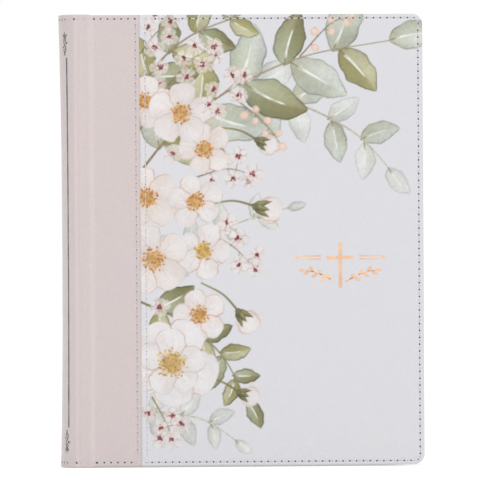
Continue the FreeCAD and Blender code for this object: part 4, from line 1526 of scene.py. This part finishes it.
def s_scroll(height, turns=6.4, n=72):
    """A line that winds up at both ends, first one way and then the other, upright and of that height."""
    s = np.linspace(-1, 1, n)
    th = turns * s ** 2
    step = 2.0 / (n - 1)
    x, y = np.cumsum(np.cos(th)) * step, np.cumsum(np.sin(th)) * step
    x, y = x - x.mean(), y - y.mean()
    u, v, w = np.linalg.svd(np.stack([x, y], 1), full_matrices=False)
    p = np.stack([x, y], 1) @ w.T
    p = p / (p[:, 0].max() - p[:, 0].min()) * height
    return [(q[1], q[0], 0.26 + 0.34 * (1 - abs(t)) ** 0.8) for q, t in zip(p, s)]


def scroll(z, up):
    """A plain scroll device up the spine from height z, set a little towards the middle of the spine."""
    parts = [s_scroll(6.6)]
    parts[0] = [(x, h + 4.0, w) for x, h, w in parts[0]]
    parts += [leaf(0.0, 7.6, a, ln, 0.62) for a, ln in ((1.57, 3.0), (2.45, 2.5), (0.69, 2.5))]
    parts += [leaf(0.6, 4.6, 0.35, 2.1, 0.5), leaf(-0.6, 3.4, 3.5, 2.1, 0.5), ring(0.0, -0.3, 0.42, 0.28, 12)]
    x0 = RULE - 1.9
    return [[(x0 + 1.3 * x, z + up * h, w) for x, h, w in q] for q in parts]


for side, sgn, body in (("front", -1, "front_block"), ("rear", 1, "rear_block")):
    lines = [line(RULE, 19.0, RULE, 195.5, 0.72, 60)] + scroll(197.5, 1) + scroll(17.0, -1)

    def on_spine(x, z, d, sgn=sgn):
        a = sgn * x / R
        u, y, zz = spine_point(a, z, -d)
        return mm(u, y, zz)

    f = ribbons(side + "_spine_scroll_foil", lines, on_spine, M["silver"], lift=0.03)
    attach(f, body)
    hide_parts(side + "_spine_foil")
# ---------------------------------------------------------------- floor, light and camera
def stage_floor():
    """A wide pale floor."""
    n = 96
    verts = [(0, 0, 0)] + [(9.0 * math.cos(2 * math.pi * k / n), 9.0 * math.sin(2 * math.pi * k / n), 0) for k in range(n)]
    faces = [(0, k + 1, (k + 1) % n + 1) for k in range(n)]
    me = bpy.data.meshes.new("studio_floor")
    me.from_pydata(verts, [], faces)
    g = G("studio_floor_m", rough=0.95, spec=0.0, color=(0.80, 0.80, 0.80, 1))
    g.set(g.b, "Emission Color", (1, 1, 1, 1))
    g.set(g.b, "Emission Strength", 0.30)
    g.m.cycles.emission_sampling = "NONE"
    me.materials.append(g.m)
    ob = bpy.data.objects.new("studio_floor", me)
    scene.collection.objects.link(ob)
    ob.location.z = -0.0003


stage_floor()
w = bpy.data.worlds.new("studio")
scene.world = w
w.use_nodes = True
w.node_tree.nodes["Background"].inputs[0].default_value = (1.0, 1.0, 1.0, 1)
w.node_tree.nodes["Background"].inputs[1].default_value = 1.0


def area(name, loc, target, size, power, color=(1, 1, 1)):
    d = bpy.data.lights.new(name, "AREA")
    d.shape = "SQUARE"
    d.size = size
    d.energy = power
    d.color = color
    ob = bpy.data.objects.new(name, d)
    scene.collection.objects.link(ob)
    ob.location = loc
    ob.rotation_euler = (Vector(target) - Vector(loc)).to_track_quat("-Z", "Y").to_euler()
    return ob


area("key", (0.75, -2.05, 1.15), (0, 0, 0.11), 0.8, 9.0)
area("top", (-0.2, -0.3, 1.8), (0, 0, 0.11), 0.8, 3.0)
strip = area("strip", (-1.05, -1.6, 0.30), (0, 0, 0.11), 0.12, 2.4)
strip.data.shape = "RECTANGLE"
strip.data.size_y = 1.0

scene.view_settings.view_transform = "Standard"
scene.view_settings.look = "None"
scene.view_settings.exposure = 0.0
scene.view_settings.gamma = 1.0

AZ, DIST, ROLL = math.radians(-3.6), 4.5, math.radians(-0.35)
aim = Vector((0.0, 0.0, H / 2000.0))
cam_data = bpy.data.cameras.new("camera")
cam_data.sensor_width = 36.0
cam_data.lens = 36.0 * (DIST - FACE / 1000.0) / (480 / DU / 1000.0)
cam_data.clip_start, cam_data.clip_end = 0.05, 20.0
cam = bpy.data.objects.new("camera", cam_data)
scene.collection.objects.link(cam)
cam.location = aim + Vector((math.sin(AZ) * DIST, -math.cos(AZ) * DIST, 0.0))
look = (aim - cam.location).to_track_quat("-Z", "Y")
from mathutils import Quaternion
cam.rotation_euler = (look @ Quaternion((0, 0, 1), ROLL)).to_euler()
scene.camera = cam
